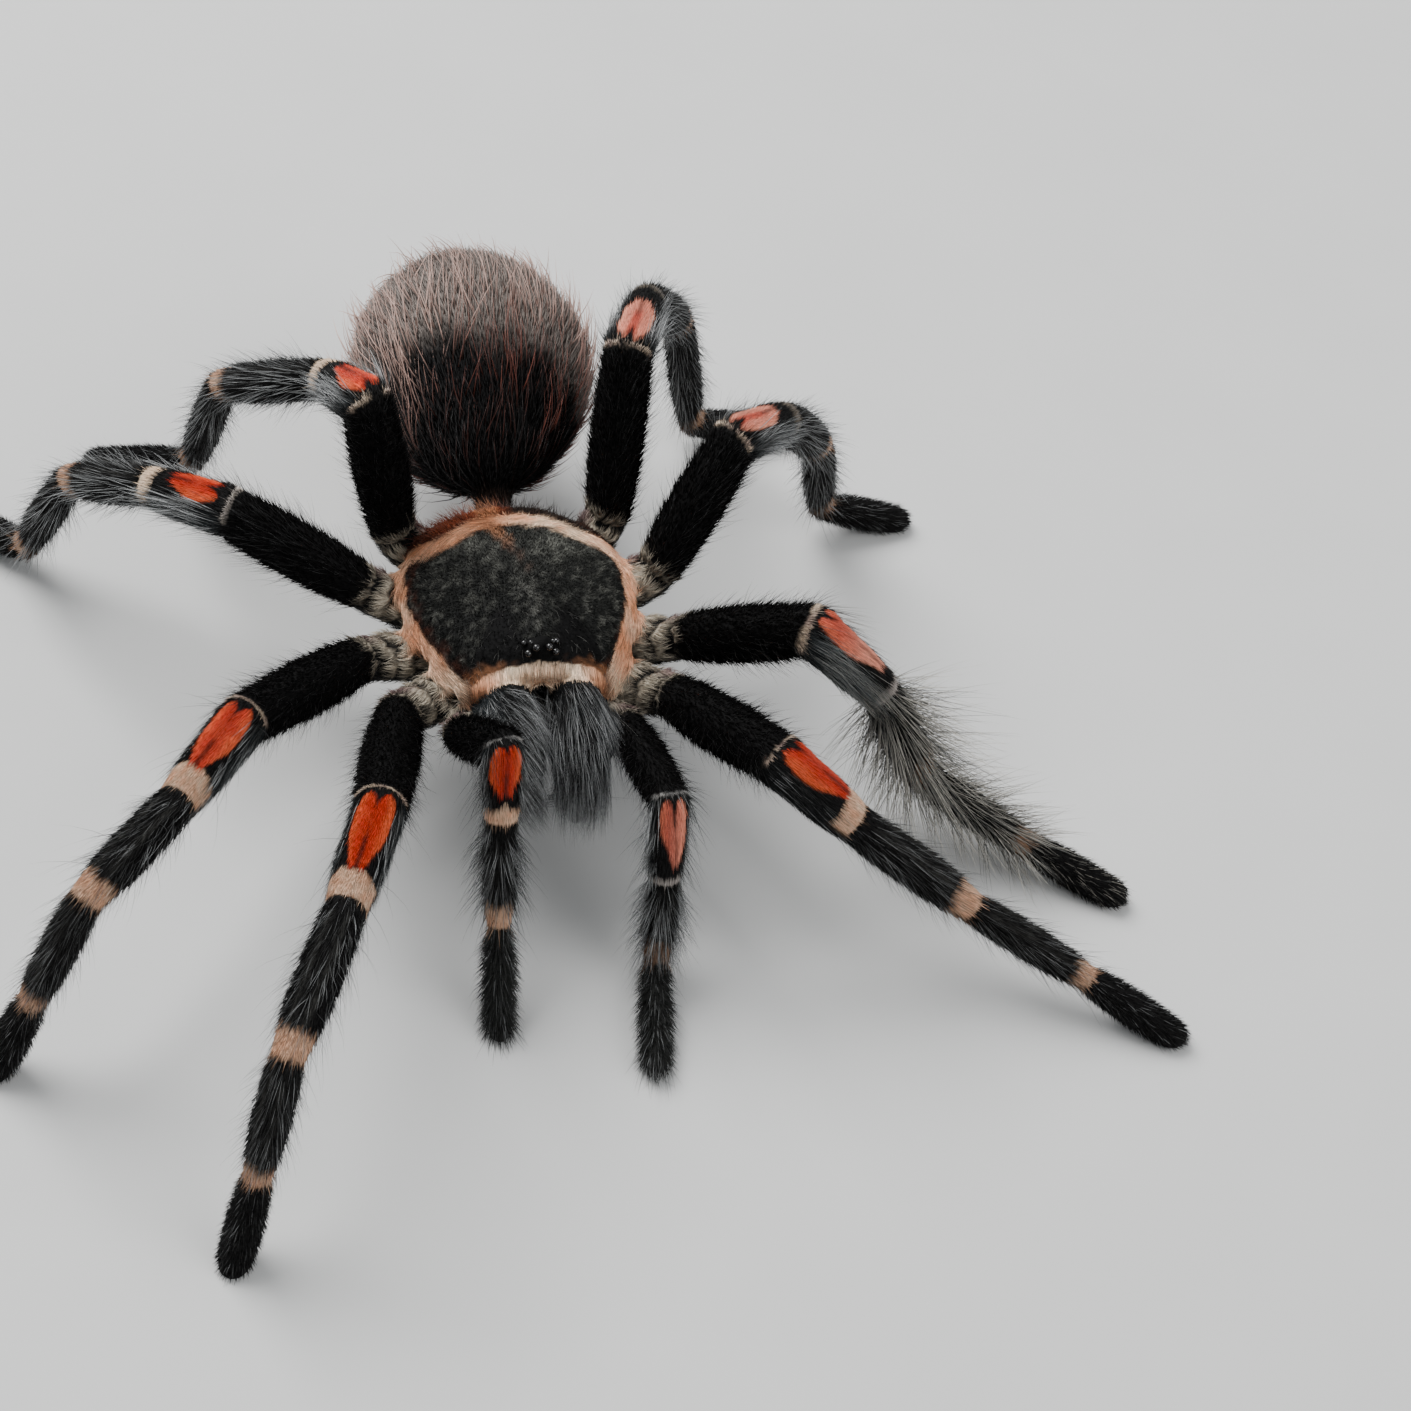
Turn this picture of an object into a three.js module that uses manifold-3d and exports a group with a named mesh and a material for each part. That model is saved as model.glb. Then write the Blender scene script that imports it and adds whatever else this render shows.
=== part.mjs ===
// A red-kneed tarantula, life size, as a still museum model standing on a level floor.
// Millimetres. +Z is up, the head looks along -Y and the spider's own left side is +X.
// Every solid reaches out to the tips of the short coat that covers it.
import * as THREE from 'three';
import { mergeVertices } from 'three/addons/utils/BufferGeometryUtils.js';
import Module from 'manifold-3d';

const wasm = await Module();
wasm.setup();

// ---- Driving dimensions ----

const JOINT_GAP = 0.3; // the clearance between neighbouring solids
const EYE_GAP = 0.1; // the eyes are too small for a wider one
const SOLE_DEPTH = 0.25; // how much of a round foot tip the floor flattens

const CARAPACE = {
  front: -9.9, // Y of the edge over the fangs
  rear: 10.6, // Y of the edge over the waist
  widest: 0.8, // Y of the widest place
  halfWidth: 10.3,
  frontHalfWidth: 6.6,
  marginHeight: 15.3, // Z of the upper side of the rim
  underside: 14.3, // Z of the flat lower side
  headRise: 4.7, // the head's top above the rim
  thoraxRise: 3.9, // the broad back above the rim
  archRise: 2.3, // how far the front edge arches over the jaws
};

const TUBERCLE = { at: [0, -8.2, 19.3], semi: [1.35, 1.0, 1.1] }; // the mound that carries the eyes

const ABDOMEN = { at: [0, 26.4, 15.8], halfWidth: 11.5, halfLength: 14.2, top: 11.0, bottom: 10.0 };

const TRUNK = { at: [0, 0.8, 11.2], semi: [5.2, 7.6, 2.9] }; // the solid middle over the breastplate

// Lengths of femur, patella, tibia, metatarsus and tarsus, for an adult female with this carapace.
const LEG_LENGTHS = {
  1: [16.5, 10.0, 13.0, 11.5, 8.5],
  2: [15.0, 9.3, 11.4, 11.2, 8.2],
  3: [13.2, 8.2, 9.8, 12.0, 8.2],
  4: [16.0, 9.3, 13.0, 16.0, 9.2],
};
const PALP_LENGTHS = [12.0, 7.5, 8.6, 9.0]; // femur, patella, tibia, tarsus

// Where each left limb's coxa leaves the trunk, and where its femur begins.
const HIPS = {
  1: { inner: [4.2, -4.4, 11.3], outer: [11.2, -9.3, 13.6] },
  2: { inner: [5.2, -1.2, 11.2], outer: [13.4, -3.3, 13.7] },
  3: { inner: [5.2, 2.2, 11.4], outer: [12.3, 3.5, 14.5] },
  4: { inner: [4.2, 5.6, 11.6], outer: [9.2, 9.7, 14.7] },
  palp: { inner: [3.0, -6.6, 11.2], outer: [6.9, -12.0, 13.7] },
};
const HIP_ORDER = ['palp', '1', '2', '3', '4'];

// Radius at the start, middle and end of each length, with the short coat.
const LEG_GIRTHS = {
  coxa: [2.3, 2.7, 2.5],
  femur: [2.45, 2.9, 2.6],
  patella: [2.5, 2.35, 2.0],
  tibia: [2.0, 2.15, 1.7],
  metatarsus: [1.65, 1.8, 1.4],
  tarsus: [1.45, 1.72, 1.6],
};
const PALP_GIRTH = 0.82; // a palp's girth as a share of a leg's
const TALLNESS = 1.06; // a limb is a little taller than wide

// The pose: each length's turn from straight sideways (minus is forward) and its rise, in degrees.
const POSE = {
  left_1: { turn: [-70, -15, -22, -31, -31], rise: [28, -43, -32, -18, -21] },
  left_2: { turn: [-47, -13, -13, -32, -32], rise: [40, -44, -62, -18, -14] },
  left_3: { turn: [37, 40, 38, 50, 0], rise: [52, -21, -48, -70, -18] },
  left_4: { turn: [78, 67, 54, 34, 0], rise: [72, -15, -46, -75, -12] },
  right_1: { turn: [-75, -68, -64, -54, -54], rise: [23, 2, -9, -72, -70] },
  right_2: { turn: [-41, -52, -48, -21, -18], rise: [17, -2, -2, -67, -67] },
  right_3: { turn: [20, 42, 44, 36, 45], rise: [27, -15, -30, -68, -12] },
  right_4: { turn: [-8, 74, 44, 72, 20], rise: [79, -30, -33, -67, -15] },
  left_palp: { turn: [-85, -89, -93, -100], rise: [19, -72, -78, -12] },
  right_palp: { turn: [-101, -91, -89, -87], rise: [44, -73, -63, -52] },
};

const SIDES = 10; // points round a limb
const BODY_SIDES = 20; // points round the abdomen and the trunk
const SHARPEST_CORNER = 1.15; // how far a bent joint's corner stands out, in radii

// ---- Materials ----

/** A matt furred or horny surface of one colour. */
function surface(colour, roughness) {
  return new THREE.MeshStandardMaterial({ color: colour, roughness, metalness: 0 });
}

const BLACK_COAT = surface(0x14120f, 0.9);
const GREY_COAT = surface(0x2c2b2a, 0.9);
const TAN_COAT = surface(0x8a7460, 0.9);
const BROWN_COAT = surface(0x3c2a24, 0.9);
const KNEE_COAT = surface(0x8d3a1a, 0.9);
const HORN = surface(0x1a0c08, 0.25);
const EYE = surface(0x050505, 0.08);

// ---- Vectors and closed meshes ----

const UP = new THREE.Vector3(0, 0, 1);

function vector(numbers) {
  return new THREE.Vector3(...numbers);
}

/** Numbers from 0 to 1 in this many equal steps. */
function steps(count) {
  return Array.from({ length: count + 1 }, (_, i) => i / count);
}

/** The curve through a start, a middle and an end value. */
function threePoint([start, middle, end], t) {
  const bow = middle - (start + end) / 2;
  return THREE.MathUtils.lerp(start, end, t) + bow * 4 * t * (1 - t);
}

/** A closed mesh through rings that turn right-handed about the way they follow each other. */
function skinRings(rings) {
  const sides = rings[0].length;
  const points = rings.flat();
  const middles = [rings[0], rings.at(-1)].map(
    (ring) => ring.reduce((sum, p) => sum.add(p), new THREE.Vector3()).divideScalar(sides),
  );
  const faces = [];
  for (let r = 0; r < rings.length - 1; r++) {
    for (let i = 0; i < sides; i++) {
      const next = (i + 1) % sides;
      const [a, b] = [r * sides + i, r * sides + next];
      faces.push(a, b, b + sides, a, b + sides, a + sides);
    }
  }
  const last = (rings.length - 1) * sides;
  for (let i = 0; i < sides; i++) {
    const next = (i + 1) % sides;
    faces.push(points.length, next, i);
    faces.push(points.length + 1, last + i, last + next);
  }
  const geometry = new THREE.BufferGeometry().setFromPoints([...points, ...middles]);
  geometry.setIndex(faces);
  return geometry;
}

/** The same shape on the spider's other side. */
function mirrored(geometry) {
  const copy = geometry.clone().scale(-1, 1, 1);
  const faces = [...copy.index.array];
  for (let i = 0; i < faces.length; i += 3) {
    [faces[i], faces[i + 1]] = [faces[i + 1], faces[i]];
  }
  copy.setIndex(faces);
  return copy;
}

// ---- Cutting ----

function toSolid(geometry) {
  const bare = geometry.clone();
  bare.deleteAttribute('normal');
  bare.deleteAttribute('uv');
  const merged = mergeVertices(bare);
  const vertProperties = new Float32Array(merged.attributes.position.array);
  const triVerts = new Uint32Array(merged.index.array);
  return new wasm.Manifold(new wasm.Mesh({ numProp: 3, vertProperties, triVerts }));
}

function toGeometry(solid) {
  const mesh = solid.getMesh();
  const geometry = new THREE.BufferGeometry();
  geometry.setAttribute('position', new THREE.BufferAttribute(new Float32Array(mesh.vertProperties), 3));
  geometry.setIndex([...mesh.triVerts]);
  return geometry;
}

/** The geometry less each of the tools. */
function cut(geometry, tools) {
  const solid = tools.reduce((left, tool) => left.subtract(toSolid(tool)), toSolid(geometry));
  return toGeometry(solid);
}

function joined(a, b) {
  return toGeometry(toSolid(a).add(toSolid(b)));
}

const BLOCK = 240; // an edge longer than the spider

/** A block that fills the space in front of a plane. */
function spaceBeyond(point, normal) {
  const block = new THREE.BoxGeometry(BLOCK, BLOCK, BLOCK);
  block.translate(0, 0, BLOCK / 2);
  block.applyQuaternion(new THREE.Quaternion().setFromUnitVectors(UP, normal.clone().normalize()));
  return block.translate(...point.toArray());
}

const FLOOR = spaceBeyond(new THREE.Vector3(), UP.clone().negate());

// ---- Limbs ----

/** A direction from its turn and its rise, with the two directions across it. */
function heading(turn, rise) {
  const [a, e] = [THREE.MathUtils.degToRad(turn), THREE.MathUtils.degToRad(rise)];
  const along = new THREE.Vector3(Math.cos(a) * Math.cos(e), Math.sin(a) * Math.cos(e), Math.sin(e));
  const across = new THREE.Vector3(-Math.sin(a), Math.cos(a), 0);
  return { along, across, above: along.clone().cross(across) };
}

/** A limb's joints and headings from its hip outward, for the left side. */
function skeleton(hip, lengths, pose, sink) {
  const bones = [];
  let start = vector(hip.outer);
  lengths.forEach((length, i) => {
    const rise = pose.rise[i] - (i >= 2 ? sink : 0);
    const bone = { start, length, ...heading(pose.turn[i], rise) };
    bone.end = start.clone().addScaledVector(bone.along, length);
    bones.push(bone);
    start = bone.end;
  });
  return bones;
}

/** The height of the lowest point of the round tip. */
function tipHeight(bones, radius) {
  const { end, along } = bones.at(-1);
  return end.z - along.z * radius - radius;
}

/** The skeleton with its outer lengths sunk or raised until the sole presses the floor. */
function standing(hip, lengths, pose, tipRadius) {
  let [high, low] = [-30, 30];
  for (let i = 0; i < 40; i++) {
    const middle = (high + low) / 2;
    const above = tipHeight(skeleton(hip, lengths, pose, middle), tipRadius) > -SOLE_DEPTH;
    [high, low] = above ? [middle, low] : [high, middle];
  }
  return skeleton(hip, lengths, pose, low);
}

/** A coxa as a bone, so that it meets its femur as the other lengths meet. */
function hipBone(hip) {
  const [start, end] = [vector(hip.inner), vector(hip.outer)];
  const along = end.clone().sub(start);
  const length = along.length();
  along.divideScalar(length);
  const across = UP.clone().cross(along).normalize();
  return { start, end, length, along, across, above: along.clone().cross(across) };
}

/** The plane that two lengths share at their joint, and how much its corner is pressed in. */
function mitre(before, after) {
  const normal = before.along.clone().add(after.along).normalize();
  const halfBend = before.along.angleTo(after.along) / 2;
  return { normal, press: Math.min(1, SHARPEST_CORNER * Math.cos(halfBend)) };
}

/** One ring of a limb, which leans towards the joint planes near the ends. */
function limbRing(bone, t, radius, startPlane, endPlane, sides, grow) {
  const centre = bone.start.clone().addScaledVector(bone.along, bone.length * t);
  const nearness = [Math.max(0, 1 - 2 * t), Math.max(0, 2 * t - 1)];
  return Array.from({ length: sides }, (_, i) => {
    const angle = (2 * Math.PI * (i + 0.5)) / sides;
    const offset = bone.across.clone().multiplyScalar(Math.cos(angle) * (radius + grow));
    offset.addScaledVector(bone.above, Math.sin(angle) * (radius * TALLNESS + grow));
    let slide = 0;
    [startPlane, endPlane].forEach((plane, end) => {
      const bend = plane.normal.clone().projectOnPlane(bone.along);
      if (bend.lengthSq() > 1e-6) {
        bend.normalize();
        const pressed = offset.dot(bend) * (1 - plane.press) * nearness[end] ** 2;
        offset.addScaledVector(bend, -pressed);
      }
      slide -= (nearness[end] * offset.dot(plane.normal)) / bone.along.dot(plane.normal);
    });
    return centre.clone().add(offset).addScaledVector(bone.along, slide);
  });
}

/** The rings of one length of a limb, at these places along it. */
function lengthRings({ bone, girth, places, startPlane, endPlane, startGap = 0, endGap = 0, grow = 0 }) {
  return places.map((t) => {
    const radius = threePoint(girth, t);
    const ring = limbRing(bone, t, radius, startPlane, endPlane, SIDES, grow);
    if (t === 0) ring.forEach((p) => p.addScaledVector(startPlane.normal, startGap));
    if (t === 1) ring.forEach((p) => p.addScaledVector(endPlane.normal, -endGap));
    return ring;
  });
}

/** The round end of a foot: rings that close over the last bone's tip. */
function footRings(bone, girth, startPlane) {
  const tip = girth[2];
  const straight = { normal: bone.along, press: 1 };
  const trunkEnd = 1 - (0.9 * tip) / bone.length;
  const body = [0.35, trunkEnd].map((t) =>
    limbRing(bone, t, threePoint(girth, t), startPlane, straight, SIDES, 0));
  const cap = [35, 65].map((degrees) => {
    const turn = THREE.MathUtils.degToRad(degrees);
    const t = trunkEnd + ((1 - trunkEnd) * Math.sin(turn));
    return limbRing(bone, t, tip * Math.cos(turn), straight, straight, SIDES, 0);
  });
  return [...body, ...cap];
}

const HALF_GAP = JOINT_GAP / 2;

/** The four solids of one limb, from the coxa out to the foot, for the left side. */
function limbSolids(hipName, pose, lengths, scale) {
  const girths = {};
  for (const [name, girth] of Object.entries(LEG_GIRTHS)) {
    girths[name] = girth.map((radius) => radius * scale);
  }
  const hip = HIPS[hipName];
  const bones = standing(hip, lengths, pose, girths.tarsus[2]);
  const coxa = hipBone(hip);
  const joints = [coxa, ...bones].slice(0, -1).map((bone, i) => mitre(bone, bones[i]));
  const coxaStart = { normal: coxa.along, press: 1 };
  const solids = {};

  solids.coxa = skinRings(lengthRings({
    bone: coxa, girth: girths.coxa, places: [0, 0.4, 0.75, 1],
    startPlane: coxaStart, endPlane: joints[0], endGap: HALF_GAP,
  }));
  solids.femur = skinRings(lengthRings({
    bone: bones[0], girth: girths.femur, places: [0, 0.18, 0.5, 0.82, 1],
    startPlane: joints[0], endPlane: joints[1], startGap: HALF_GAP, endGap: HALF_GAP,
  }));
  solids.tibia = skinRings([
    ...lengthRings({
      bone: bones[1], girth: girths.patella, places: [0, 0.2, 0.5, 0.8],
      startPlane: joints[1], endPlane: joints[2], startGap: HALF_GAP,
    }),
    ...lengthRings({
      bone: bones[2], girth: girths.tibia, places: [0, 0.25, 0.55, 0.85, 1],
      startPlane: joints[2], endPlane: joints[3], endGap: HALF_GAP,
    }),
  ]);

  const foot = bones.at(-1);
  const footStart = joints.at(-1);
  const ankle = bones.length === 5
    ? lengthRings({
      bone: bones[3], girth: girths.metatarsus, places: [0, 0.3, 0.6, 0.88],
      startPlane: joints[3], endPlane: joints[4], startGap: HALF_GAP,
    })
    : [];
  const start = lengthRings({
    bone: foot, girth: girths.tarsus, places: [0],
    startPlane: footStart, endPlane: { normal: foot.along, press: 1 },
    startGap: ankle.length ? 0 : HALF_GAP,
  });
  const wholeFoot = skinRings([...ankle, ...start, ...footRings(foot, girths.tarsus, footStart)]);
  solids.foot = cut(wholeFoot, [FLOOR]);
  return solids;
}

// ---- Body ----

/** The carapace's half width at a place along the body. */
function carapaceHalfWidth(y) {
  const { front, rear, widest, halfWidth, frontHalfWidth } = CARAPACE;
  if (y > widest) {
    const share = (y - widest) / (rear - widest);
    return halfWidth * Math.max(0, 1 - share ** 2.3) ** (1 / 2.2);
  }
  const share = (y - front) / (widest - front);
  return frontHalfWidth + (halfWidth - frontHalfWidth) * Math.sin((share * Math.PI) / 2);
}

function bump(x, y, cx, cy, spreadX, spreadY) {
  return Math.exp(-(((x - cx) / spreadX) ** 2) - ((y - cy) / spreadY) ** 2);
}

/** Height of the back over the rim: a steep head, a broad thorax and the pit between them. */
function carapaceRise(x, y) {
  const { front, rear, headRise, thoraxRise, archRise } = CARAPACE;
  const across = Math.min(1, Math.abs(x) / Math.max(carapaceHalfWidth(y), 0.01));
  const along = (y - front) / (rear - front);
  const nose = THREE.MathUtils.smoothstep(along, -0.12, 0.2);
  const tail = Math.sqrt(Math.max(0, 1 - along ** 5));
  const spine = THREE.MathUtils.lerp(headRise, thoraxRise, THREE.MathUtils.smoothstep(along, 0.25, 0.6));
  const crown = THREE.MathUtils.lerp(archRise, spine, nose) * tail;
  const pit = 0.9 * bump(x, y, 0, 3.4, 1.6, 0.9);
  const grooves = 0.45 * bump(Math.abs(x), y, 4.2, -1.2, 1.5, 3.0);
  return crown * (1 - across ** 2.4) ** 0.8 - pit - grooves;
}

/** Height of the carapace's lower side, which arches at the front to let the jaws out. */
function carapaceUnderside(x, y) {
  const { front, frontHalfWidth, underside, archRise } = CARAPACE;
  const forward = 1 - THREE.MathUtils.smoothstep(y, front, front + 5);
  return underside + (archRise - 0.4) * forward * Math.max(0, 1 - (x / frontHalfWidth) ** 2);
}

/** The carapace, or with a grown skin the room that its neighbours leave for it. */
function carapaceShell(grow) {
  const { front, rear, marginHeight } = CARAPACE;
  const rows = [0, 0.04, 0.1, 0.17, 0.26, 0.36, 0.46, 0.56, 0.64, 0.72, 0.8, 0.88, 0.95, 0.99];
  const topShares = [-1, -0.9, -0.7, -0.45, -0.2, 0, 0.2, 0.45, 0.7, 0.9, 1];
  const underShares = [1, 0.5, 0, -0.5, -1];
  const rings = rows.map((share, row) => {
    const y = THREE.MathUtils.lerp(front, rear, share);
    const end = row === 0 ? -grow : row === rows.length - 1 ? grow : 0;
    const half = carapaceHalfWidth(y);
    const top = topShares.map((u) => {
      const z = marginHeight + carapaceRise(u * half, y) + grow;
      return new THREE.Vector3(u * (half + grow), y + end, z);
    });
    const under = underShares.map((u) => {
      const z = carapaceUnderside(u * half, y) - grow;
      return new THREE.Vector3(u * (half + grow), y + end, z);
    });
    return [...top, ...under];
  });
  return skinRings(rings);
}

function ellipsoid(at, semi, grow, around, down) {
  const ball = new THREE.SphereGeometry(1, around, down);
  ball.rotateX(Math.PI / 2);
  ball.scale(...semi.map((half) => half + grow));
  return ball.translate(...at);
}

/** The abdomen: an egg lying along Y, fuller behind and flatter below. */
function abdomenShell(grow) {
  const { at, halfWidth, halfLength, top, bottom } = ABDOMEN;
  const rings = steps(13).slice(1, -1).map((share) => {
    const turn = share * Math.PI;
    const fullness = Math.sin(turn) * (1 - 0.1 * Math.cos(turn)) * (1 + 0.08 * Math.sin(turn) ** 6) / 1.08;
    const y = at[1] - (halfLength + grow) * Math.cos(turn);
    return Array.from({ length: BODY_SIDES }, (_, i) => {
      const angle = (2 * Math.PI * i) / BODY_SIDES;
      const height = Math.sin(angle) > 0 ? top : bottom;
      const x = at[0] - Math.cos(angle) * (halfWidth * fullness + grow);
      const z = at[2] + Math.sin(angle) * (height * fullness + grow);
      return new THREE.Vector3(x, y, z);
    });
  });
  return skinRings(rings);
}

/** A tapering solid along a curve, whose half width and half height are given along it. */
function taperedTube(points, halfWidths, halfHeights, sides, count, grow) {
  const curve = new THREE.CatmullRomCurve3(points.map(vector));
  const rings = steps(count).map((t) => {
    const centre = curve.getPoint(t);
    const along = curve.getTangent(t);
    const across = new THREE.Vector3(1, 0, 0).projectOnPlane(along).normalize();
    const above = along.clone().cross(across);
    return Array.from({ length: sides }, (_, i) => {
      const angle = (2 * Math.PI * (i + 0.5)) / sides;
      const point = centre.clone().addScaledVector(across, Math.cos(angle) * (threePoint(halfWidths, t) + grow));
      return point.addScaledVector(above, Math.sin(angle) * (threePoint(halfHeights, t) + grow));
    });
  });
  return skinRings(rings);
}

/** The narrow waist between the trunk and the abdomen. */
function pedicel() {
  const back = ABDOMEN.at[1] - ABDOMEN.halfLength;
  const path = [[0, back - 4.6, 12.2], [0, back - 2, 12.5], [0, back + 0.1, 13.4]];
  return taperedTube(path, [2.0, 1.7, 1.9], [1.6, 1.35, 1.6], 10, 3, 0);
}

/** The left jaw's big basal length, which bulges forward and turns down. */
function chelicera(grow) {
  const path = [[2.75, -7.6, 13.2], [2.8, -11.4, 14.4], [2.8, -15.0, 13.4], [2.7, -16.9, 10.4]];
  return taperedTube(path, [2.3, 2.6, 2.1], [2.9, 4.1, 2.0], 12, 7, grow);
}

/** The left fang, folded back under its jaw. */
function fang() {
  const path = [[2.7, -16.6, 9.6], [2.6, -16.4, 7.6], [2.4, -14.2, 6.5], [2.2, -11.6, 7.2]];
  return taperedTube(path, [0.85, 0.6, 0.2], [0.9, 0.65, 0.2], 8, 6, 0);
}

/** The left spinneret, a short finger at the lower rear of the abdomen. */
function spinneret() {
  const rear = ABDOMEN.at[1] + ABDOMEN.halfLength;
  const path = [[1.7, rear - 5.0, 9.4], [1.9, rear - 1.0, 9.6], [2.1, rear + 0.8, 10.2]];
  return taperedTube(path, [1.1, 1.0, 0.5], [1.1, 1.0, 0.5], 8, 4, 0);
}

// ---- Eyes ----

// The left four: the bearing from straight ahead and the rise on the mound, in degrees, and the radius.
const EYES = {
  front_middle: { bearing: 30, rise: 42, radius: 0.31 },
  front_side: { bearing: 52, rise: 6, radius: 0.31 },
  back_middle: { bearing: 76, rise: 48, radius: 0.2 },
  back_side: { bearing: 106, rise: 14, radius: 0.25 },
};

/** A shining dome on the mound, flat below. */
function eye({ bearing, rise, radius }) {
  const [a, e] = [THREE.MathUtils.degToRad(bearing), THREE.MathUtils.degToRad(rise)];
  const way = new THREE.Vector3(Math.sin(a) * Math.cos(e), -Math.cos(a) * Math.cos(e), Math.sin(e));
  const semi = vector(TUBERCLE.semi);
  const seat = vector(TUBERCLE.at).add(way.clone().multiply(semi));
  const outward = way.divide(semi).normalize();
  const ball = new THREE.SphereGeometry(radius, 7, 5);
  ball.translate(...seat.clone().addScaledVector(outward, radius * 0.35).toArray());
  return cut(ball, [spaceBeyond(seat.addScaledVector(outward, EYE_GAP), outward.negate())]);
}

// ---- Assembly ----

const spider = new THREE.Group();

function addNode(name, geometry, material) {
  geometry.computeVertexNormals();
  const mesh = new THREE.Mesh(geometry, material.clone());
  mesh.name = name;
  spider.add(mesh);
}

/** Adds the left solid, and its mirror image for the right side. */
function addPair(name, geometry, material) {
  addNode(`${name}_left`, geometry, material);
  addNode(`${name}_right`, mirrored(geometry), material);
}

const mound = ellipsoid(TUBERCLE.at, TUBERCLE.semi, 0, 12, 6);
const carapaceRoom = carapaceShell(JOINT_GAP);
const trunkRoom = ellipsoid(TRUNK.at, TRUNK.semi, JOINT_GAP, 16, 6);
const abdomenRoom = abdomenShell(JOINT_GAP);
const jawRoom = chelicera(JOINT_GAP);

function addBody() {
  const shell = joined(carapaceShell(0), mound);
  addNode('carapace', shell, GREY_COAT);
  const trunk = ellipsoid(TRUNK.at, TRUNK.semi, 0, 16, 6);
  const roof = spaceBeyond(new THREE.Vector3(0, 0, CARAPACE.underside - JOINT_GAP), UP);
  addNode('sternum', cut(trunk, [roof]), GREY_COAT);
  addNode('pedicel', cut(pedicel(), [trunkRoom]), GREY_COAT);
  addNode('abdomen', abdomenShell(0), BROWN_COAT);
  addPair('spinneret', cut(spinneret(), [abdomenRoom]), GREY_COAT);
}

function addHead() {
  const middle = spaceBeyond(new THREE.Vector3(HALF_GAP, 0, 0), new THREE.Vector3(-1, 0, 0));
  addPair('chelicera', cut(chelicera(0), [carapaceRoom, trunkRoom, middle]), GREY_COAT);
  addPair('fang', cut(fang(), [jawRoom]), HORN);
  for (const [name, place] of Object.entries(EYES)) {
    addPair(`eye_${name}`, eye(place), EYE);
  }
}

/** The spaces of the coxae before and behind this one, so that neighbours part on a plane. */
function neighbourSpaces(hipName) {
  const index = HIP_ORDER.indexOf(hipName);
  return [-1, 1].filter((step) => HIP_ORDER[index + step]).map((step) => {
    const [own, other] = [HIPS[hipName], HIPS[HIP_ORDER[index + step]]];
    const [inner, outer] = ['inner', 'outer'].map((end) => vector(own[end]).add(vector(other[end])).divideScalar(2));
    const between = outer.clone().sub(inner).setZ(0);
    const normal = between.cross(UP).normalize();
    if (normal.dot(vector(other.outer).sub(vector(own.outer))) < 0) normal.negate();
    return spaceBeyond(inner.addScaledVector(normal, -HALF_GAP), normal);
  });
}

function addLimb(name, hipName, side, lengths, scale, lastName) {
  const solids = limbSolids(hipName, POSE[`${side}_${hipName}`], lengths, scale);
  const jaw = hipName === 'palp' ? [jawRoom] : [];
  const colours = { coxa: TAN_COAT, femur: BLACK_COAT, tibia: KNEE_COAT, foot: BLACK_COAT };
  solids.coxa = cut(solids.coxa, [carapaceRoom, trunkRoom, ...neighbourSpaces(hipName), ...jaw]);
  solids.femur = cut(solids.femur, [carapaceRoom, ...jaw]);
  for (const [part, solid] of Object.entries(solids)) {
    const partName = part === 'foot' ? lastName : part;
    const shape = side === 'left' ? solid : mirrored(solid);
    addNode(`${name}_${side}_${partName}`, shape, colours[part]);
  }
}

function addLimbs() {
  for (const side of ['left', 'right']) {
    addLimb('palp', 'palp', side, PALP_LENGTHS, PALP_GIRTH, 'tarsus');
    for (const number of ['1', '2', '3', '4']) {
      addLimb(`leg_${number}`, number, side, LEG_LENGTHS[number], 1, 'foot');
    }
  }
}

addBody();
addHead();
addLimbs();

// The origin is the middle of the box that holds the spider, on the floor.
const box = new THREE.Box3().setFromObject(spider);
const middle = box.getCenter(new THREE.Vector3());
spider.position.set(-middle.x, -middle.y, -box.min.z);

const group = new THREE.Group();
group.add(spider);

export default group;
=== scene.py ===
# %% [markdown]
# # A red-kneed tarantula, life size
#
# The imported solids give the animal's true outline, out to the tips of its short coat. This file
# gives it the looks of a museum model: one skin inside those solids, a coat of separate bristles over
# the skin, shining eyes, and a plain stage. Everything is in metres in the frame's own axes: the
# spider looks along -Y, its left side is +X, and the floor is Z = 0.

# %% Load the frame
import math

import bmesh
import bpy
import numpy as np
from mathutils import Matrix, Vector, noise

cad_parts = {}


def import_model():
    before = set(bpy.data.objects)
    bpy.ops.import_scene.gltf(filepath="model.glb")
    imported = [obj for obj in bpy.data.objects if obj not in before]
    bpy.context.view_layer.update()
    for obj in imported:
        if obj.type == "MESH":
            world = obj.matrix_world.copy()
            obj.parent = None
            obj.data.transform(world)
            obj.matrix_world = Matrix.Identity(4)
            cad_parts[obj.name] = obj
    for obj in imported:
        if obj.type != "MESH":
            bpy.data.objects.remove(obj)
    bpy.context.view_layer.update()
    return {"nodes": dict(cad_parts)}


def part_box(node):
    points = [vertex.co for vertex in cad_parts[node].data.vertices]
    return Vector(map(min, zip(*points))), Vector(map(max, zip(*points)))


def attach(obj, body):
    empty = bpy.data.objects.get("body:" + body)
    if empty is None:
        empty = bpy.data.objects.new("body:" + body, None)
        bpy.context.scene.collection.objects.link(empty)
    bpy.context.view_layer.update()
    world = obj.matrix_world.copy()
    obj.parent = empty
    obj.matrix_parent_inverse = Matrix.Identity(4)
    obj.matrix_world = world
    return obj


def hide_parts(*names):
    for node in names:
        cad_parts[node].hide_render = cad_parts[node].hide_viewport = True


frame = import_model()

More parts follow.
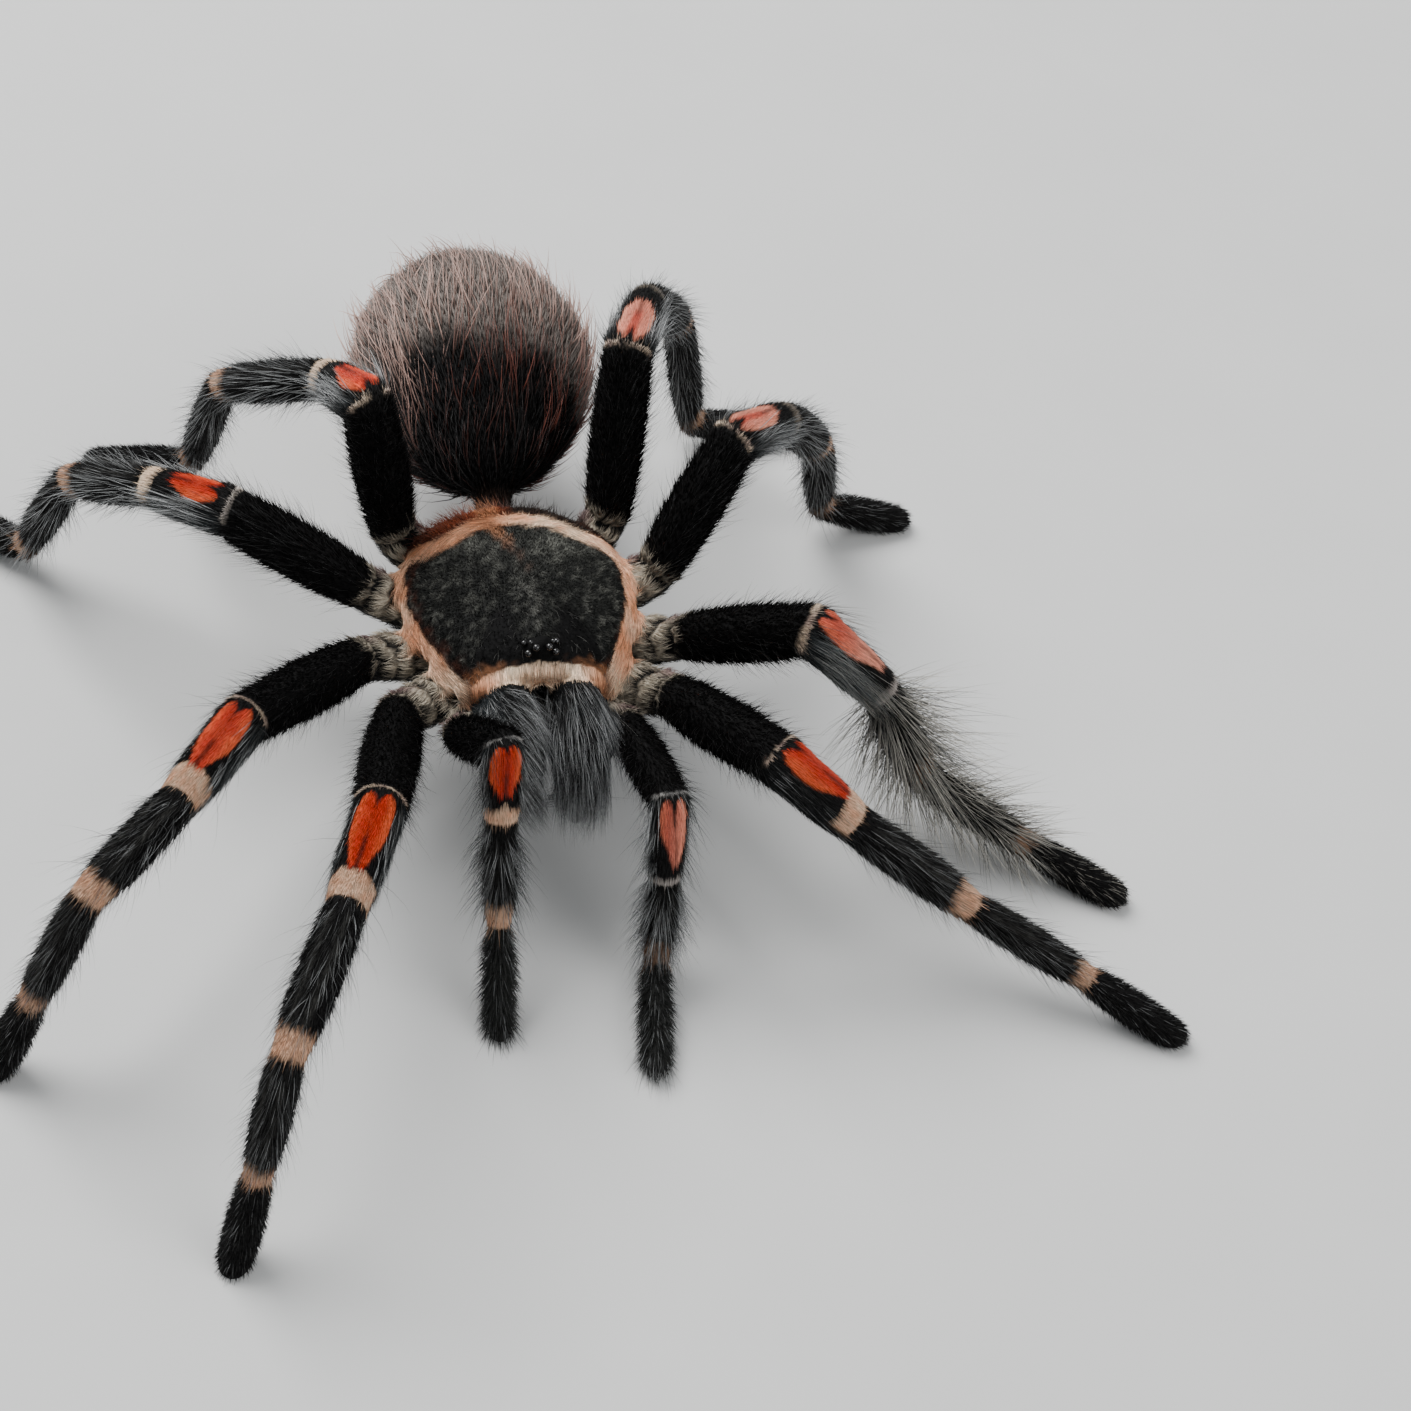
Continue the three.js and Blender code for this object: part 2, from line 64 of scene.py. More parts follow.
# %% [markdown]
# ## The plan of the body
#
# Blender needs the joints' places, because hair lies along a limb and the coloured marks sit at
# chosen shares of each length. They could be measured from the solids, but a few named lengths and
# angles say the same thing exactly, so the plan is repeated here in millimetres. Each limb is a chain
# of lengths. A pose gives each length its turn from straight sideways and its rise, in degrees.

# %% Sizes of the body, in millimetres
MM = 0.001
PIT_Y = 0.8  # the pit in the middle of the carapace
CARAPACE = dict(front=-9.9, rear=10.6, widest=0.8, half=10.3, front_half=6.6, margin=15.3,
                under=14.3, head=4.7, thorax=3.9, arch=2.3)
MOUND = dict(at=(0, -8.2, 19.3), semi=(1.35, 1.0, 1.1))
ABDOMEN = dict(at=(0, 26.4, 15.8), half=11.5, length=14.2, top=11.0, bottom=10.0)
TRUNK = dict(at=(0, 0.8, 11.2), semi=(5.2, 7.6, 2.9))
CORE = dict(at=(0, 0, 13.4), semi=(4.5, 8.6, 2.6))  # hidden inside, it closes the gaps between solids
COAT_DEPTH = {  # how far the skin lies under the coat's tips
    "coxa": 0.7, "femur": 0.75, "patella": 0.45, "tibia": 0.5, "metatarsus": 0.42, "tarsus": 0.35,
    "carapace": 0.3, "mound": 0.12, "abdomen": 1.2, "trunk": 0.4, "pedicel": 0.3, "jaw": 0.25,
    "spinneret": 0.2,
}

carapace_low, carapace_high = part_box("carapace")
SHIFT = np.array([(carapace_low.x + carapace_high.x) / 2, carapace_low.y, 0]) / MM
SHIFT[1] -= CARAPACE["front"]
print("plan to frame, mm:", SHIFT.round(3))

# %% Sizes and pose of the limbs
LEG_PARTS = ["coxa", "femur", "patella", "tibia", "metatarsus", "tarsus"]
PALP_PARTS = ["coxa", "femur", "patella", "tibia", "tarsus"]
LENGTHS = {
    "1": [16.5, 10.0, 13.0, 11.5, 8.5],
    "2": [15.0, 9.3, 11.4, 11.2, 8.2],
    "3": [13.2, 8.2, 9.8, 12.0, 8.2],
    "4": [16.0, 9.3, 13.0, 16.0, 9.2],
    "palp": [12.0, 7.5, 8.6, 9.0],
}
HIPS = {
    "1": ((4.2, -4.4, 11.3), (11.2, -9.3, 13.6)),
    "2": ((5.2, -1.2, 11.2), (13.4, -3.3, 13.7)),
    "3": ((5.2, 2.2, 11.4), (12.3, 3.5, 14.5)),
    "4": ((4.2, 5.6, 11.6), (9.2, 9.7, 14.7)),
    "palp": ((3.0, -6.6, 11.2), (6.9, -12.0, 13.7)),
}
GIRTHS = {  # radius at the start, middle and end of a length, with the short coat
    "coxa": (2.3, 2.7, 2.5),
    "femur": (2.45, 2.9, 2.6),
    "patella": (2.5, 2.35, 2.0),
    "tibia": (2.0, 2.15, 1.7),
    "metatarsus": (1.65, 1.8, 1.4),
    "tarsus": (1.45, 1.72, 1.6),
}
PALP_GIRTH = 0.82  # a palp's girth as a share of a leg's
TALLNESS = 1.06  # height of a length's cross section as a share of its width
SOLE_DEPTH = 0.25  # how far a sole presses into the floor
UPRIGHT = 0.9  # sine of the rise from which a femur counts as upright
POSE = {
    ("left", "1"): ([-70, -15, -22, -31, -31], [28, -43, -32, -18, -21]),
    ("left", "2"): ([-47, -13, -13, -32, -32], [40, -44, -62, -18, -14]),
    ("left", "3"): ([37, 40, 38, 50, 0], [52, -21, -48, -70, -18]),
    ("left", "4"): ([78, 67, 54, 34, 0], [72, -15, -46, -75, -12]),
    ("right", "1"): ([-75, -68, -64, -54, -54], [23, 2, -9, -72, -70]),
    ("right", "2"): ([-41, -52, -48, -21, -18], [17, -2, -2, -67, -67]),
    ("right", "3"): ([20, 42, 44, 36, 45], [27, -15, -30, -68, -12]),
    ("right", "4"): ([-8, 74, 44, 72, 20], [79, -30, -33, -67, -15]),
    ("left", "palp"): ([-85, -89, -93, -100], [19, -72, -78, -12]),
    ("right", "palp"): ([-101, -91, -89, -87], [44, -73, -63, -52]),
}
print("limbs:", len(POSE), "first leg", sum(LENGTHS["1"]), "mm beyond the hip")

# %% [markdown]
# A length's direction comes from its turn and rise. The lengths beyond the patella are sunk or raised
# by one angle until the sole just presses the floor. The angle is found by halving an interval, which
# is the simplest way to solve such an equation.


# %% Chains of lengths
def direction(turn, rise):
    a, e = math.radians(turn), math.radians(rise)
    return np.array([math.cos(a) * math.cos(e), math.sin(a) * math.cos(e), math.sin(e)])


def chain(hip, lengths, pose, sink):
    points = [np.array(hip[1], float)]
    for i, (length, turn, rise) in enumerate(zip(lengths, *pose)):
        points.append(points[-1] + length * direction(turn, rise - (sink if i > 1 else 0)))
    return points


MOST_SINK, HALVINGS = 30.0, 40  # degrees, and how often the interval is halved


def standing(hip, lengths, pose, tip_radius):
    high, low = -MOST_SINK, MOST_SINK
    for _ in range(HALVINGS):
        middle = (high + low) / 2
        points = chain(hip, lengths, pose, middle)
        along = (points[-1] - points[-2]) / lengths[-1]
        above = points[-1][2] - along[2] * tip_radius - tip_radius > -SOLE_DEPTH
        high, low = (middle, low) if above else (high, middle)
    return chain(hip, lengths, pose, low)


def unit(v):
    return v / np.maximum(np.linalg.norm(v, axis=-1, keepdims=True), 1e-9)


print("straight ahead is", direction(-90, 0).round(3))

# %% [markdown]
# Each length becomes a bone: its two ends, its girths, and three directions for along, across and
# above. Where two lengths meet, a plane halfway between their directions parts them. An upright
# femur has no clear upper side, so it takes its back from the bend at the knee.

# %% Bones of every limb
LIMBS = []
for (side, number), pose in POSE.items():
    parts = PALP_PARTS if number == "palp" else LEG_PARTS
    scale = PALP_GIRTH if number == "palp" else 1.0
    points = standing(HIPS[number], LENGTHS[number], pose, GIRTHS["tarsus"][2] * scale)
    points = np.array([HIPS[number][0]] + points)
    mirror = np.array([1 if side == "left" else -1, 1, 1])
    bones = []
    for part, start, end in zip(parts, points[:-1], points[1:]):
        along = unit(end - start)
        across = unit(np.array([-along[1], along[0], 0]))
        above = np.cross(along, across)
        radii = np.array(GIRTHS[part]) * scale
        bones.append(dict(part=part, start=start * mirror + SHIFT, end=end * mirror + SHIFT,
                          along=along * mirror, across=across * mirror, above=above * mirror,
                          length=np.linalg.norm(end - start), radii=radii))
    thigh, knee = bones[1:3]
    if thigh["along"][2] > UPRIGHT:
        bend = thigh["along"] - knee["along"]
        thigh["above"] = unit(bend - (bend @ thigh["along"]) * thigh["along"])
        thigh["across"] = np.cross(thigh["above"], thigh["along"]) * mirror[0]
    for before, after in zip(bones[:-1], bones[1:]):
        before["end_plane"] = after["start_plane"] = unit(before["along"] + after["along"])
    bones[0]["start_plane"], bones[-1]["end_plane"] = bones[0]["along"], bones[-1]["along"]
    LIMBS.append(dict(name=f"{number}_{side}", side=side, number=number, bones=bones))
print("feet at", [np.round(limb["bones"][-1]["end"], 1).tolist() for limb in LIMBS])

# %% [markdown]
# ## Closed forms
#
# The skin starts as simple closed forms that overlap: a capsule for each length, an egg for the
# abdomen, a low shield for the carapace. Each is a stack of rings, joined like a barrel. They could
# be sculpted as one cage by hand, but rings made from the named sizes keep true to the solids.


# %% Rings and closed meshes
def profile(radii, t):
    start, middle, end = radii
    early = start + (middle - start) * np.sin(np.clip(t * 2, 0, 1) * np.pi / 2)
    late = middle + (end - middle) * (1 - np.cos(np.clip(t * 2 - 1, 0, 1) * np.pi / 2))
    return np.where(t < 0.5, early, late)


def barrel(rings):
    """Vertices and faces of a closed form from rings of equal size, with a point at each end."""
    rings = [np.asarray(r, float) for r in rings]
    count = len(rings[0])
    verts = np.vstack([*rings, rings[0].mean(0), rings[-1].mean(0)])
    faces = []
    for r in range(len(rings) - 1):
        for i in range(count):
            j = (i + 1) % count
            faces.append((r * count + i, r * count + j, (r + 1) * count + j, (r + 1) * count + i))
    first, last = len(verts) - 2, len(verts) - 1
    base = (len(rings) - 1) * count
    for i in range(count):
        j = (i + 1) % count
        faces.append((first, j, i))
        faces.append((last, base + i, base + j))
    return verts, faces


def circle(sides):
    angle = 2 * np.pi * (np.arange(sides) + 0.5) / sides
    return np.cos(angle), np.sin(angle)


def capsule(bone, depth, sides=20):
    cosine, sine = circle(sides)
    rings = []
    ends = [(-a, 0.0) for a in (80, 55, 30)] + [(0, t) for t in np.linspace(0, 1, 9)]
    ends += [(a, 1.0) for a in (30, 55, 80)]
    for angle, t in ends:
        radius = profile(bone["radii"], np.array(t)) - depth
        lift = math.sin(math.radians(angle)) * radius
        shrink = math.cos(math.radians(angle)) * radius
        centre = bone["start"] + bone["along"] * (bone["length"] * t + lift)
        ring = centre + np.outer(cosine * shrink, bone["across"])
        rings.append(ring + np.outer(sine * shrink * TALLNESS, bone["above"]))
    return barrel(rings)


def ellipsoid(at, semi, sides=32, stacks=20):
    cosine, sine = circle(sides)
    rings = []
    for angle in np.linspace(0, np.pi, stacks + 2)[1:-1]:
        level = np.full(sides, np.cos(angle))
        ring = np.stack([cosine * np.sin(angle), sine * np.sin(angle), level], 1)
        rings.append(np.array(at) + ring * semi)
    return barrel(rings)


print("a plain egg has", len(ellipsoid((0, 0, 0), (1, 1, 1))[1]), "faces")


# %% Tapering tubes along a curve
def spline(points, t):
    """A smooth curve through a few points, as Catmull and Rom's."""
    p = np.array(points, float)
    p = np.vstack([2 * p[0] - p[1], p, 2 * p[-1] - p[-2]])
    x = np.clip(t, 0, 1) * (len(p) - 3)
    i = np.minimum(x.astype(int), len(p) - 4)
    f = (x - i)[:, None]
    a, b, c, d = p[i], p[i + 1], p[i + 2], p[i + 3]
    square, cube = 2 * a - 5 * b + 4 * c - d, 3 * b - a - 3 * c + d
    return 0.5 * (2 * b + (c - a) * f + square * f**2 + cube * f**3)


def tapered(points, widths, heights, depth, sides=24, count=24):
    t = np.linspace(0, 1, count)
    centres = spline(points, t)
    alongs = unit(np.gradient(centres, axis=0))
    cosine, sine = circle(sides)
    rings = []
    for share, centre, along in zip(t, centres, alongs):
        across = unit(np.array([1, 0, 0]) - along * along[0])
        above = np.cross(along, across)
        wide = np.interp(share, [0, 0.5, 1], widths) - depth
        tall = np.interp(share, [0, 0.5, 1], heights) - depth
        rings.append(centre + np.outer(cosine * wide, across) + np.outer(sine * tall, above))
    return barrel(rings)


print("a curve over three points peaks at", spline([(0, 0), (1, 1), (2, 0)], np.array([0.5]))[0])

# %% [markdown]
# The carapace is a height field over a rounded outline: a steep head in front, a broad thorax behind,
# a pit between them and a shallow groove on each side. Writing it as a function of x and y lets the
# skin and, later, the marks use the same outline.


# %% The carapace's outline and height
def smooth(x, low, high):
    s = np.clip((x - low) / (high - low), 0, 1)
    return s * s * (3 - 2 * s)


def before(x, edge, soft):
    return 1 - smooth(x, edge - soft, edge + soft)


def within(x, low, high, soft):
    return smooth(x, low - soft, low + soft) * before(x, high, soft)


def bump(x, y, cx, cy, sx, sy):
    return np.exp(-(((x - cx) / sx) ** 2) - ((y - cy) / sy) ** 2)


def carapace_half(y):
    c = CARAPACE
    behind = np.clip((y - c["widest"]) / (c["rear"] - c["widest"]), 0, 1)
    ahead = (y - c["front"]) / (c["widest"] - c["front"])
    return np.where(y > c["widest"], c["half"] * (1 - behind**2.3) ** (1 / 2.2),
                    c["front_half"] + (c["half"] - c["front_half"]) * np.sin(ahead * np.pi / 2))


def carapace_relief(x, y):
    """Depth of the pit, of the neck furrows that part head and thorax, and of the rays."""
    pit = 1.1 * bump(x, y, 0, PIT_Y, 1.0, 0.8)
    neck_x = 0.9 + 4.3 * np.clip((PIT_Y - y) / 7.6, 0, 1)
    neck = 0.55 * np.exp(-(((x - neck_x) / 0.8) ** 2)) * within(y, -7.0, PIT_Y - 0.5, 0.8)
    bearing, span = np.arctan2(y - PIT_Y, x), np.hypot(x, y - PIT_Y)
    rays = sum(np.exp(-(((bearing - ray) * span / 0.75) ** 2)) for ray in (-0.4, 0.15, 0.75, 1.35))
    return pit + neck + 0.32 * rays * within(span, 2.2, 7.0, 0.9)


def carapace_top(x, y):
    c = CARAPACE
    across = np.clip(np.abs(x) / np.maximum(carapace_half(y), 0.01), 0, 1)
    along = (y - c["front"]) / (c["rear"] - c["front"])
    tail = np.sqrt(np.clip(1 - np.clip(along, 0, 1) ** 5, 0, 1))
    spine = c["head"] + (c["thorax"] - c["head"]) * smooth(along, 0.25, 0.6)
    crown = (c["arch"] + (spine - c["arch"]) * smooth(along, -0.12, 0.2)) * tail
    return c["margin"] + crown * (1 - across**2.4) ** 0.8 - carapace_relief(np.abs(x), y)


def carapace_under(x, y):
    c = CARAPACE
    forward = 1 - smooth(y, c["front"], c["front"] + 5)
    return c["under"] + (c["arch"] - 0.4) * forward * np.clip(1 - (x / c["front_half"]) ** 2, 0, 1)


print("crown of the carapace at", round(float(carapace_top(0, -4.0)), 2), "mm")


# %% The carapace and the abdomen as closed forms
def carapace_form(depth):
    c = CARAPACE
    rings = []
    for share in (1 - np.cos(np.linspace(0, np.pi, 40))) / 2:
        y = c["front"] + depth + (c["rear"] - c["front"] - 2 * depth) * share
        half = float(carapace_half(np.array(y)))
        top = np.sin(np.linspace(-np.pi / 2, np.pi / 2, 29)) * half
        under = np.linspace(1, -1, 13) * half
        shrunk = max(half - depth, 0.2) / max(half, 0.01)
        above = np.stack([top * shrunk, np.full(29, y), carapace_top(top, y) - depth], 1)
        below = np.stack([under * shrunk, np.full(13, y), carapace_under(under, y) + depth], 1)
        rings.append(np.vstack([above, below[1:-1]]) + SHIFT)
    return barrel(rings)


def abdomen_form(depth, sides=48, count=40):
    at, half, length = np.array(ABDOMEN["at"]), ABDOMEN["half"], ABDOMEN["length"]
    cosine, sine = circle(sides)
    height = np.where(sine > 0, ABDOMEN["top"], ABDOMEN["bottom"])
    rings = []
    for turn in np.linspace(0, np.pi, count + 2)[1:-1]:
        full = np.sin(turn) * (1 - 0.1 * np.cos(turn)) * (1 + 0.08 * np.sin(turn) ** 6) / 1.08
        x = cosine * np.maximum(half * full - depth, 0.1)
        z = sine * np.maximum(height * full - depth, 0.1)
        y = np.full(sides, -(length - depth) * np.cos(turn))
        rings.append(at + SHIFT + np.stack([x, y, z], 1))
    return barrel(rings)


print("the carapace is", 2 * CARAPACE["half"], "mm wide")

# %% [markdown]
# The jaws, the waist and the spinnerets are tapering tubes along short curves. The eye mound and the
# underside are eggs, and one more egg, hidden inside the body, bridges the small gaps between the
# solids, so that the skin is one piece.

# %% Tubes of the body
ABDOMEN_FRONT = ABDOMEN["at"][1] - ABDOMEN["length"]
ABDOMEN_REAR = ABDOMEN["at"][1] + ABDOMEN["length"]
JAW = dict(path=[(2.75, -7.6, 13.2), (2.8, -11.4, 14.4), (2.8, -15.0, 13.4), (2.7, -16.9, 10.4)],
           widths=(2.3, 2.6, 2.1), heights=(2.9, 4.1, 2.0))
FANG = dict(path=[(2.7, -16.6, 9.6), (2.6, -16.4, 7.6), (2.4, -14.2, 6.5), (2.2, -11.6, 7.2)],
            widths=(0.85, 0.6, 0.2), heights=(0.9, 0.65, 0.2))
WAIST = dict(path=[(0, ABDOMEN_FRONT - 5.6, 12.2), (0, ABDOMEN_FRONT - 2, 12.5),
                   (0, ABDOMEN_FRONT + 2.5, 14.2)],
             widths=(2.0, 1.7, 1.9), heights=(1.6, 1.35, 1.6))
SPINNERET = dict(path=[(1.7, ABDOMEN_REAR - 5.0, 9.4), (1.9, ABDOMEN_REAR - 1, 9.6),
                       (2.1, ABDOMEN_REAR + 0.8, 10.2)],
                 widths=(1.1, 1.0, 0.5), heights=(1.1, 1.0, 0.5))


def egg(plan, depth):
    return ellipsoid(np.array(plan["at"]) + SHIFT, np.array(plan["semi"]) - depth)


def tube(plan, sign, depth):
    path = [(x * sign + SHIFT[0], y + SHIFT[1], z) for x, y, z in plan["path"]]
    return tapered(path, plan["widths"], plan["heights"], depth)


# %% All the forms together
forms = [carapace_form(COAT_DEPTH["carapace"]), abdomen_form(COAT_DEPTH["abdomen"])]
forms += [egg(MOUND, COAT_DEPTH["mound"]), egg(TRUNK, COAT_DEPTH["trunk"]), egg(CORE, 0)]
forms.append(tube(WAIST, 1, COAT_DEPTH["pedicel"]))
for sign in (1, -1):
    forms += [tube(JAW, sign, COAT_DEPTH["jaw"]), tube(SPINNERET, sign, COAT_DEPTH["spinneret"])]
for limb in LIMBS:
    forms += [capsule(bone, COAT_DEPTH[bone["part"]]) for bone in limb["bones"]]
print("closed forms:", len(forms))


# %% From forms to objects
def joined_mesh(name, forms):
    verts, faces, base = [], [], 0
    for v, f in forms:
        verts.append(v)
        faces += [tuple(i + base for i in face) for face in f]
        base += len(v)
    mesh = bpy.data.meshes.new(name)
    mesh.from_pydata(np.vstack(verts).tolist(), [], faces)
    mesh.validate()
    return mesh


def link(obj):
    bpy.context.scene.collection.objects.link(obj)
    return obj


def evaluated(obj):
    """The object's mesh with its modifiers applied, as a plain mesh."""
    depsgraph = bpy.context.evaluated_depsgraph_get()
    return bpy.data.meshes.new_from_object(obj.evaluated_get(depsgraph))


# %% [markdown]
# ## One skin
#
# A voxel remesh turns the heap of forms into a single closed surface, as clay over an armature. The
# other way is a boolean union, which is exact but leaves long thin faces. Small even faces suit what
# follows, because each vertex carries the marks and the lie of the hair. A little smoothing rounds
# the creases where forms meet. The work is done in millimetres, then scaled to metres.

# %% Remesh and smooth
VOXEL = 0.505  # millimetres
skin = link(bpy.data.objects.new("skin", joined_mesh("skin", forms)))
remesh = skin.modifiers.new("remesh", "REMESH")
remesh.mode = "VOXEL"
remesh.voxel_size = VOXEL
relax = skin.modifiers.new("relax", "SMOOTH")
relax.factor = 0.5
relax.iterations = 3
mesh = evaluated(skin)
skin.modifiers.clear()
skin.data = mesh


def coordinates(mesh):
    co = np.zeros(len(mesh.vertices) * 3)
    mesh.vertices.foreach_get("co", co)
    return co.reshape(-1, 3)


print("remeshed:", len(mesh.vertices), "vertices")

# %% [markdown]
# The knees and the carapace's rim carry fine marks with crisp edges, and a mark is only as sharp as
# the skin's faces are small. Smaller voxels everywhere would cost too much, so only the faces at the
# knees and along the rim are cut smaller.


# %% Smaller faces where the marks are fine
KNEE_ZONE = dict(radius=3.4, before=1.4, beyond=0.8, below=0.1)  # millimetres round a patella
RIM_ZONE = dict(outside=0.5, inside=2.4, lowest=14.6)  # millimetres from the outline, and a height


def knee_faces(centres):
    chosen = np.zeros(len(centres), bool)
    for limb in LIMBS:
        bone = limb["bones"][2]
        offset = centres - bone["start"]
        onward = offset @ bone["along"]
        radial = offset - np.outer(onward, bone["along"])
        close = np.linalg.norm(radial, axis=1) < KNEE_ZONE["radius"]
        close &= (onward > -KNEE_ZONE["before"]) & (onward < bone["length"] + KNEE_ZONE["beyond"])
        chosen |= close & (radial @ bone["above"] > -KNEE_ZONE["below"])
    return chosen


def rim_faces(centres):
    x, y, z = (centres - SHIFT).T
    ends = np.minimum(y - CARAPACE["front"], CARAPACE["rear"] - y)
    edge = np.minimum(carapace_half(y) - np.abs(x), ends)
    return (edge > -RIM_ZONE["outside"]) & (edge < RIM_ZONE["inside"]) & (z > RIM_ZONE["lowest"])


def refine(mesh, chosen, cuts):
    work = bmesh.new()
    work.from_mesh(mesh)
    work.faces.ensure_lookup_table()
    edges = {edge for index in np.flatnonzero(chosen) for edge in work.faces[index].edges}
    bmesh.ops.subdivide_edges(work, edges=list(edges), cuts=cuts, use_grid_fill=True)
    work.to_mesh(mesh)
    work.free()


# %% Cut the marked faces and keep the skin off the floor
centres = np.zeros(len(mesh.polygons) * 3)
mesh.polygons.foreach_get("center", centres)
centres = centres.reshape(-1, 3)
refine(mesh, knee_faces(centres) | rim_faces(centres), cuts=2)
P = coordinates(mesh)  # the skin's points in the frame's axes, in millimetres
LOWEST = 0.05
P[:, 2] = np.maximum(P[:, 2], LOWEST)
print("skin:", len(P), "vertices,", sum(len(f.vertices) - 2 for f in mesh.polygons), "triangles")

# %% [markdown]
# ## What each point of the skin belongs to
#
# Marks, hair length and lie all depend on the part of the body. A point belongs to the form whose
# surface it lies closest to. On a limb it also gets its share along the length and its place round
# it: `back` is 1 on the upper ridge and -1 below, `side` is 1 on the flank that faces the rear.


# %% Distances from a tube and from an egg
def tube_distance(points, plan, sign=1):
    """Distance outside a tapering tube, and the share along it and its direction there."""
    share = np.linspace(0, 1, 25)
    centres = spline(np.array(plan["path"]) * [sign, 1, 1], share)
    gaps = np.linalg.norm(points[:, None, :] - centres[None, :, :], axis=2)
    nearest = gaps.argmin(1)
    along = unit(np.gradient(centres, axis=0))[nearest]
    width = np.interp(share, [0, 0.5, 1], plan["widths"])
    height = np.interp(share, [0, 0.5, 1], plan["heights"])
    return gaps.min(1) - ((width + height) / 2)[nearest], share[nearest], along


def egg_distance(points, at, semi):
    offset = (points - at) / semi
    size = np.linalg.norm(offset, axis=1)
    return (size - 1) * np.linalg.norm(points - at, axis=1) / np.maximum(size, 1e-6)


Q = P - SHIFT  # the same points in the plan's axes
N = len(P)
x, y, z = Q.T
from_middle = np.abs(x)
print("points:", N, "from", Q.min(0).round(1), "to", Q.max(0).round(1))

# %% [markdown]
# Each part claims the points that are nearer to it than to any part before it, and says how the hair
# lies there. Some distances are scaled or shifted a little, because a squashed egg overstates them
# and because a small part must win over a large one that it touches.

# %% Claims of the abdomen and the trunk
best = np.full(N, 1e9)
part = np.full(N, "trunk", dtype="U12")
fields = {name: np.zeros(N) for name in ("share", "from_start", "to_end", "back", "side")}
fields["limb_id"] = np.full(N, -1)
fields["lie"] = np.tile(np.array([0.0, 1.0, -0.2]), (N, 1))


def claim(distance, name, **values):
    """Gives a part the points that are nearer to it than to any part before."""
    won = distance < best
    best[won] = distance[won]
    part[won] = name
    for key, value in values.items():
        fields[key][won] = np.broadcast_to(value, fields[key].shape)[won]


centre = np.array(ABDOMEN["at"])
rise, onward = z - centre[2], y - centre[1]
half_height = np.where(rise > 0, ABDOMEN["top"], ABDOMEN["bottom"])
abdomen_semi = np.stack([np.full(N, ABDOMEN["half"]), np.full(N, ABDOMEN["length"]), half_height], 1)
abdomen_semi -= COAT_DEPTH["abdomen"]
backward = np.stack([x * 0.12, np.clip(rise, 0, 9) + 5, -onward * smooth(rise, -7, 1)], 1)
claim(egg_distance(Q, centre, abdomen_semi) * 0.9, "abdomen", lie=backward)
trunk_semi = np.array(TRUNK["semi"]) - COAT_DEPTH["trunk"]
claim(egg_distance(Q, np.array(TRUNK["at"]), trunk_semi), "trunk")
print("abdomen claims", int((part == "abdomen").sum()), "points")

# %% [markdown]
# Three lies meet on the carapace. Inside, the velvet points outwards from the middle. Along the rim
# the satin runs with the edge, towards the front. Above the jaws the comb points forward. At the rear
# the pale rim is set in from the edge, and the tufts stand behind it.

# %% Claims of the carapace and the eye mound
REAR_INSET = 2.7
carapace_depth = COAT_DEPTH["carapace"]
shell = np.maximum.reduce([
    z - carapace_top(x, y) + carapace_depth,
    carapace_under(x, y) + carapace_depth - z,
    from_middle - carapace_half(y) + carapace_depth,
    CARAPACE["front"] + carapace_depth - y,
    y - CARAPACE["rear"] + carapace_depth])
stations = np.linspace(CARAPACE["front"], CARAPACE["rear"] - 0.001, 120)
edge_x = carapace_half(stations)
from_rim = np.array([np.hypot(abs(px) - edge_x, py - stations).min() for px, py in Q[:, :2]])
front_gap = y - CARAPACE["front"]
outward = unit(Q * [1, 1, 0] - [0, 0.5, 0])
along_rim = np.stack([np.sign(x) * outward[:, 1], -np.abs(outward[:, 0]), np.full(N, -0.1)], 1)
along_rim = along_rim + 0.06 * outward
on_band = ((1 - smooth(front_gap, 0.9, 1.6)) * (from_middle < 5.9))[:, None]
behind = smooth(y, 1.5, 5.5) * smooth(from_middle, 9.2, 5.0)
rim_start = REAR_INSET * behind
at_rim = (within(from_rim - rim_start, -0.3, 2.0, 0.6) * (1 - on_band[:, 0]))[:, None]
forward = np.stack([x * 0.03, np.full(N, -1.0), np.full(N, -0.35)], 1)
inner = outward * (1 - at_rim) + along_rim * at_rim
claim(np.abs(shell) * 0.9 - 0.1, "carapace", lie=inner * (1 - on_band) + forward * on_band)
mound_semi = np.array(MOUND["semi"]) - COAT_DEPTH["mound"]
claim(egg_distance(Q, np.array(MOUND["at"]), mound_semi) - 0.05, "mound", lie=[0, -1, 0.1])
print("carapace claims", int((part == "carapace").sum()), "points")

# %% Claims of the waist, the jaws and the spinnerets
SWEEP = {("jaw", 1): 0.05, ("jaw", -1): 0.5}  # the right jaw's hair is swept inwards
JAW_SIDE = 3  # millimetres from the middle at which a jaw's `side` is 1
claim(tube_distance(Q, WAIST)[0] + COAT_DEPTH["pedicel"], "pedicel")
for sign in (1, -1):
    for plan, name in ((JAW, "jaw"), (SPINNERET, "spinneret")):
        gap, along_share, along = tube_distance(Q, plan, sign)
        swept = along + [SWEEP.get((name, sign), 0.0), 0.15, 0]
        claim(gap + COAT_DEPTH[name], name, share=along_share, lie=swept, side=x * sign / JAW_SIDE)
print("jaws claim", int((part == "jaw").sum()), "points")

# %% [markdown]
# On a limb, the distances to the two planes that part a length from its neighbours give the share
# along it. Past a plane the claim grows weaker. Near a joint the hair's lie turns from one length's
# direction into the next one's, so that the coat flows over the bend.


# %% Claims of the limbs
def turned(flow, distance, neighbour):
    turn = 0.5 * np.clip(1 - distance / 2.5, 0, 1)[:, None]
    return flow * (1 - turn) + neighbour["along"] * turn


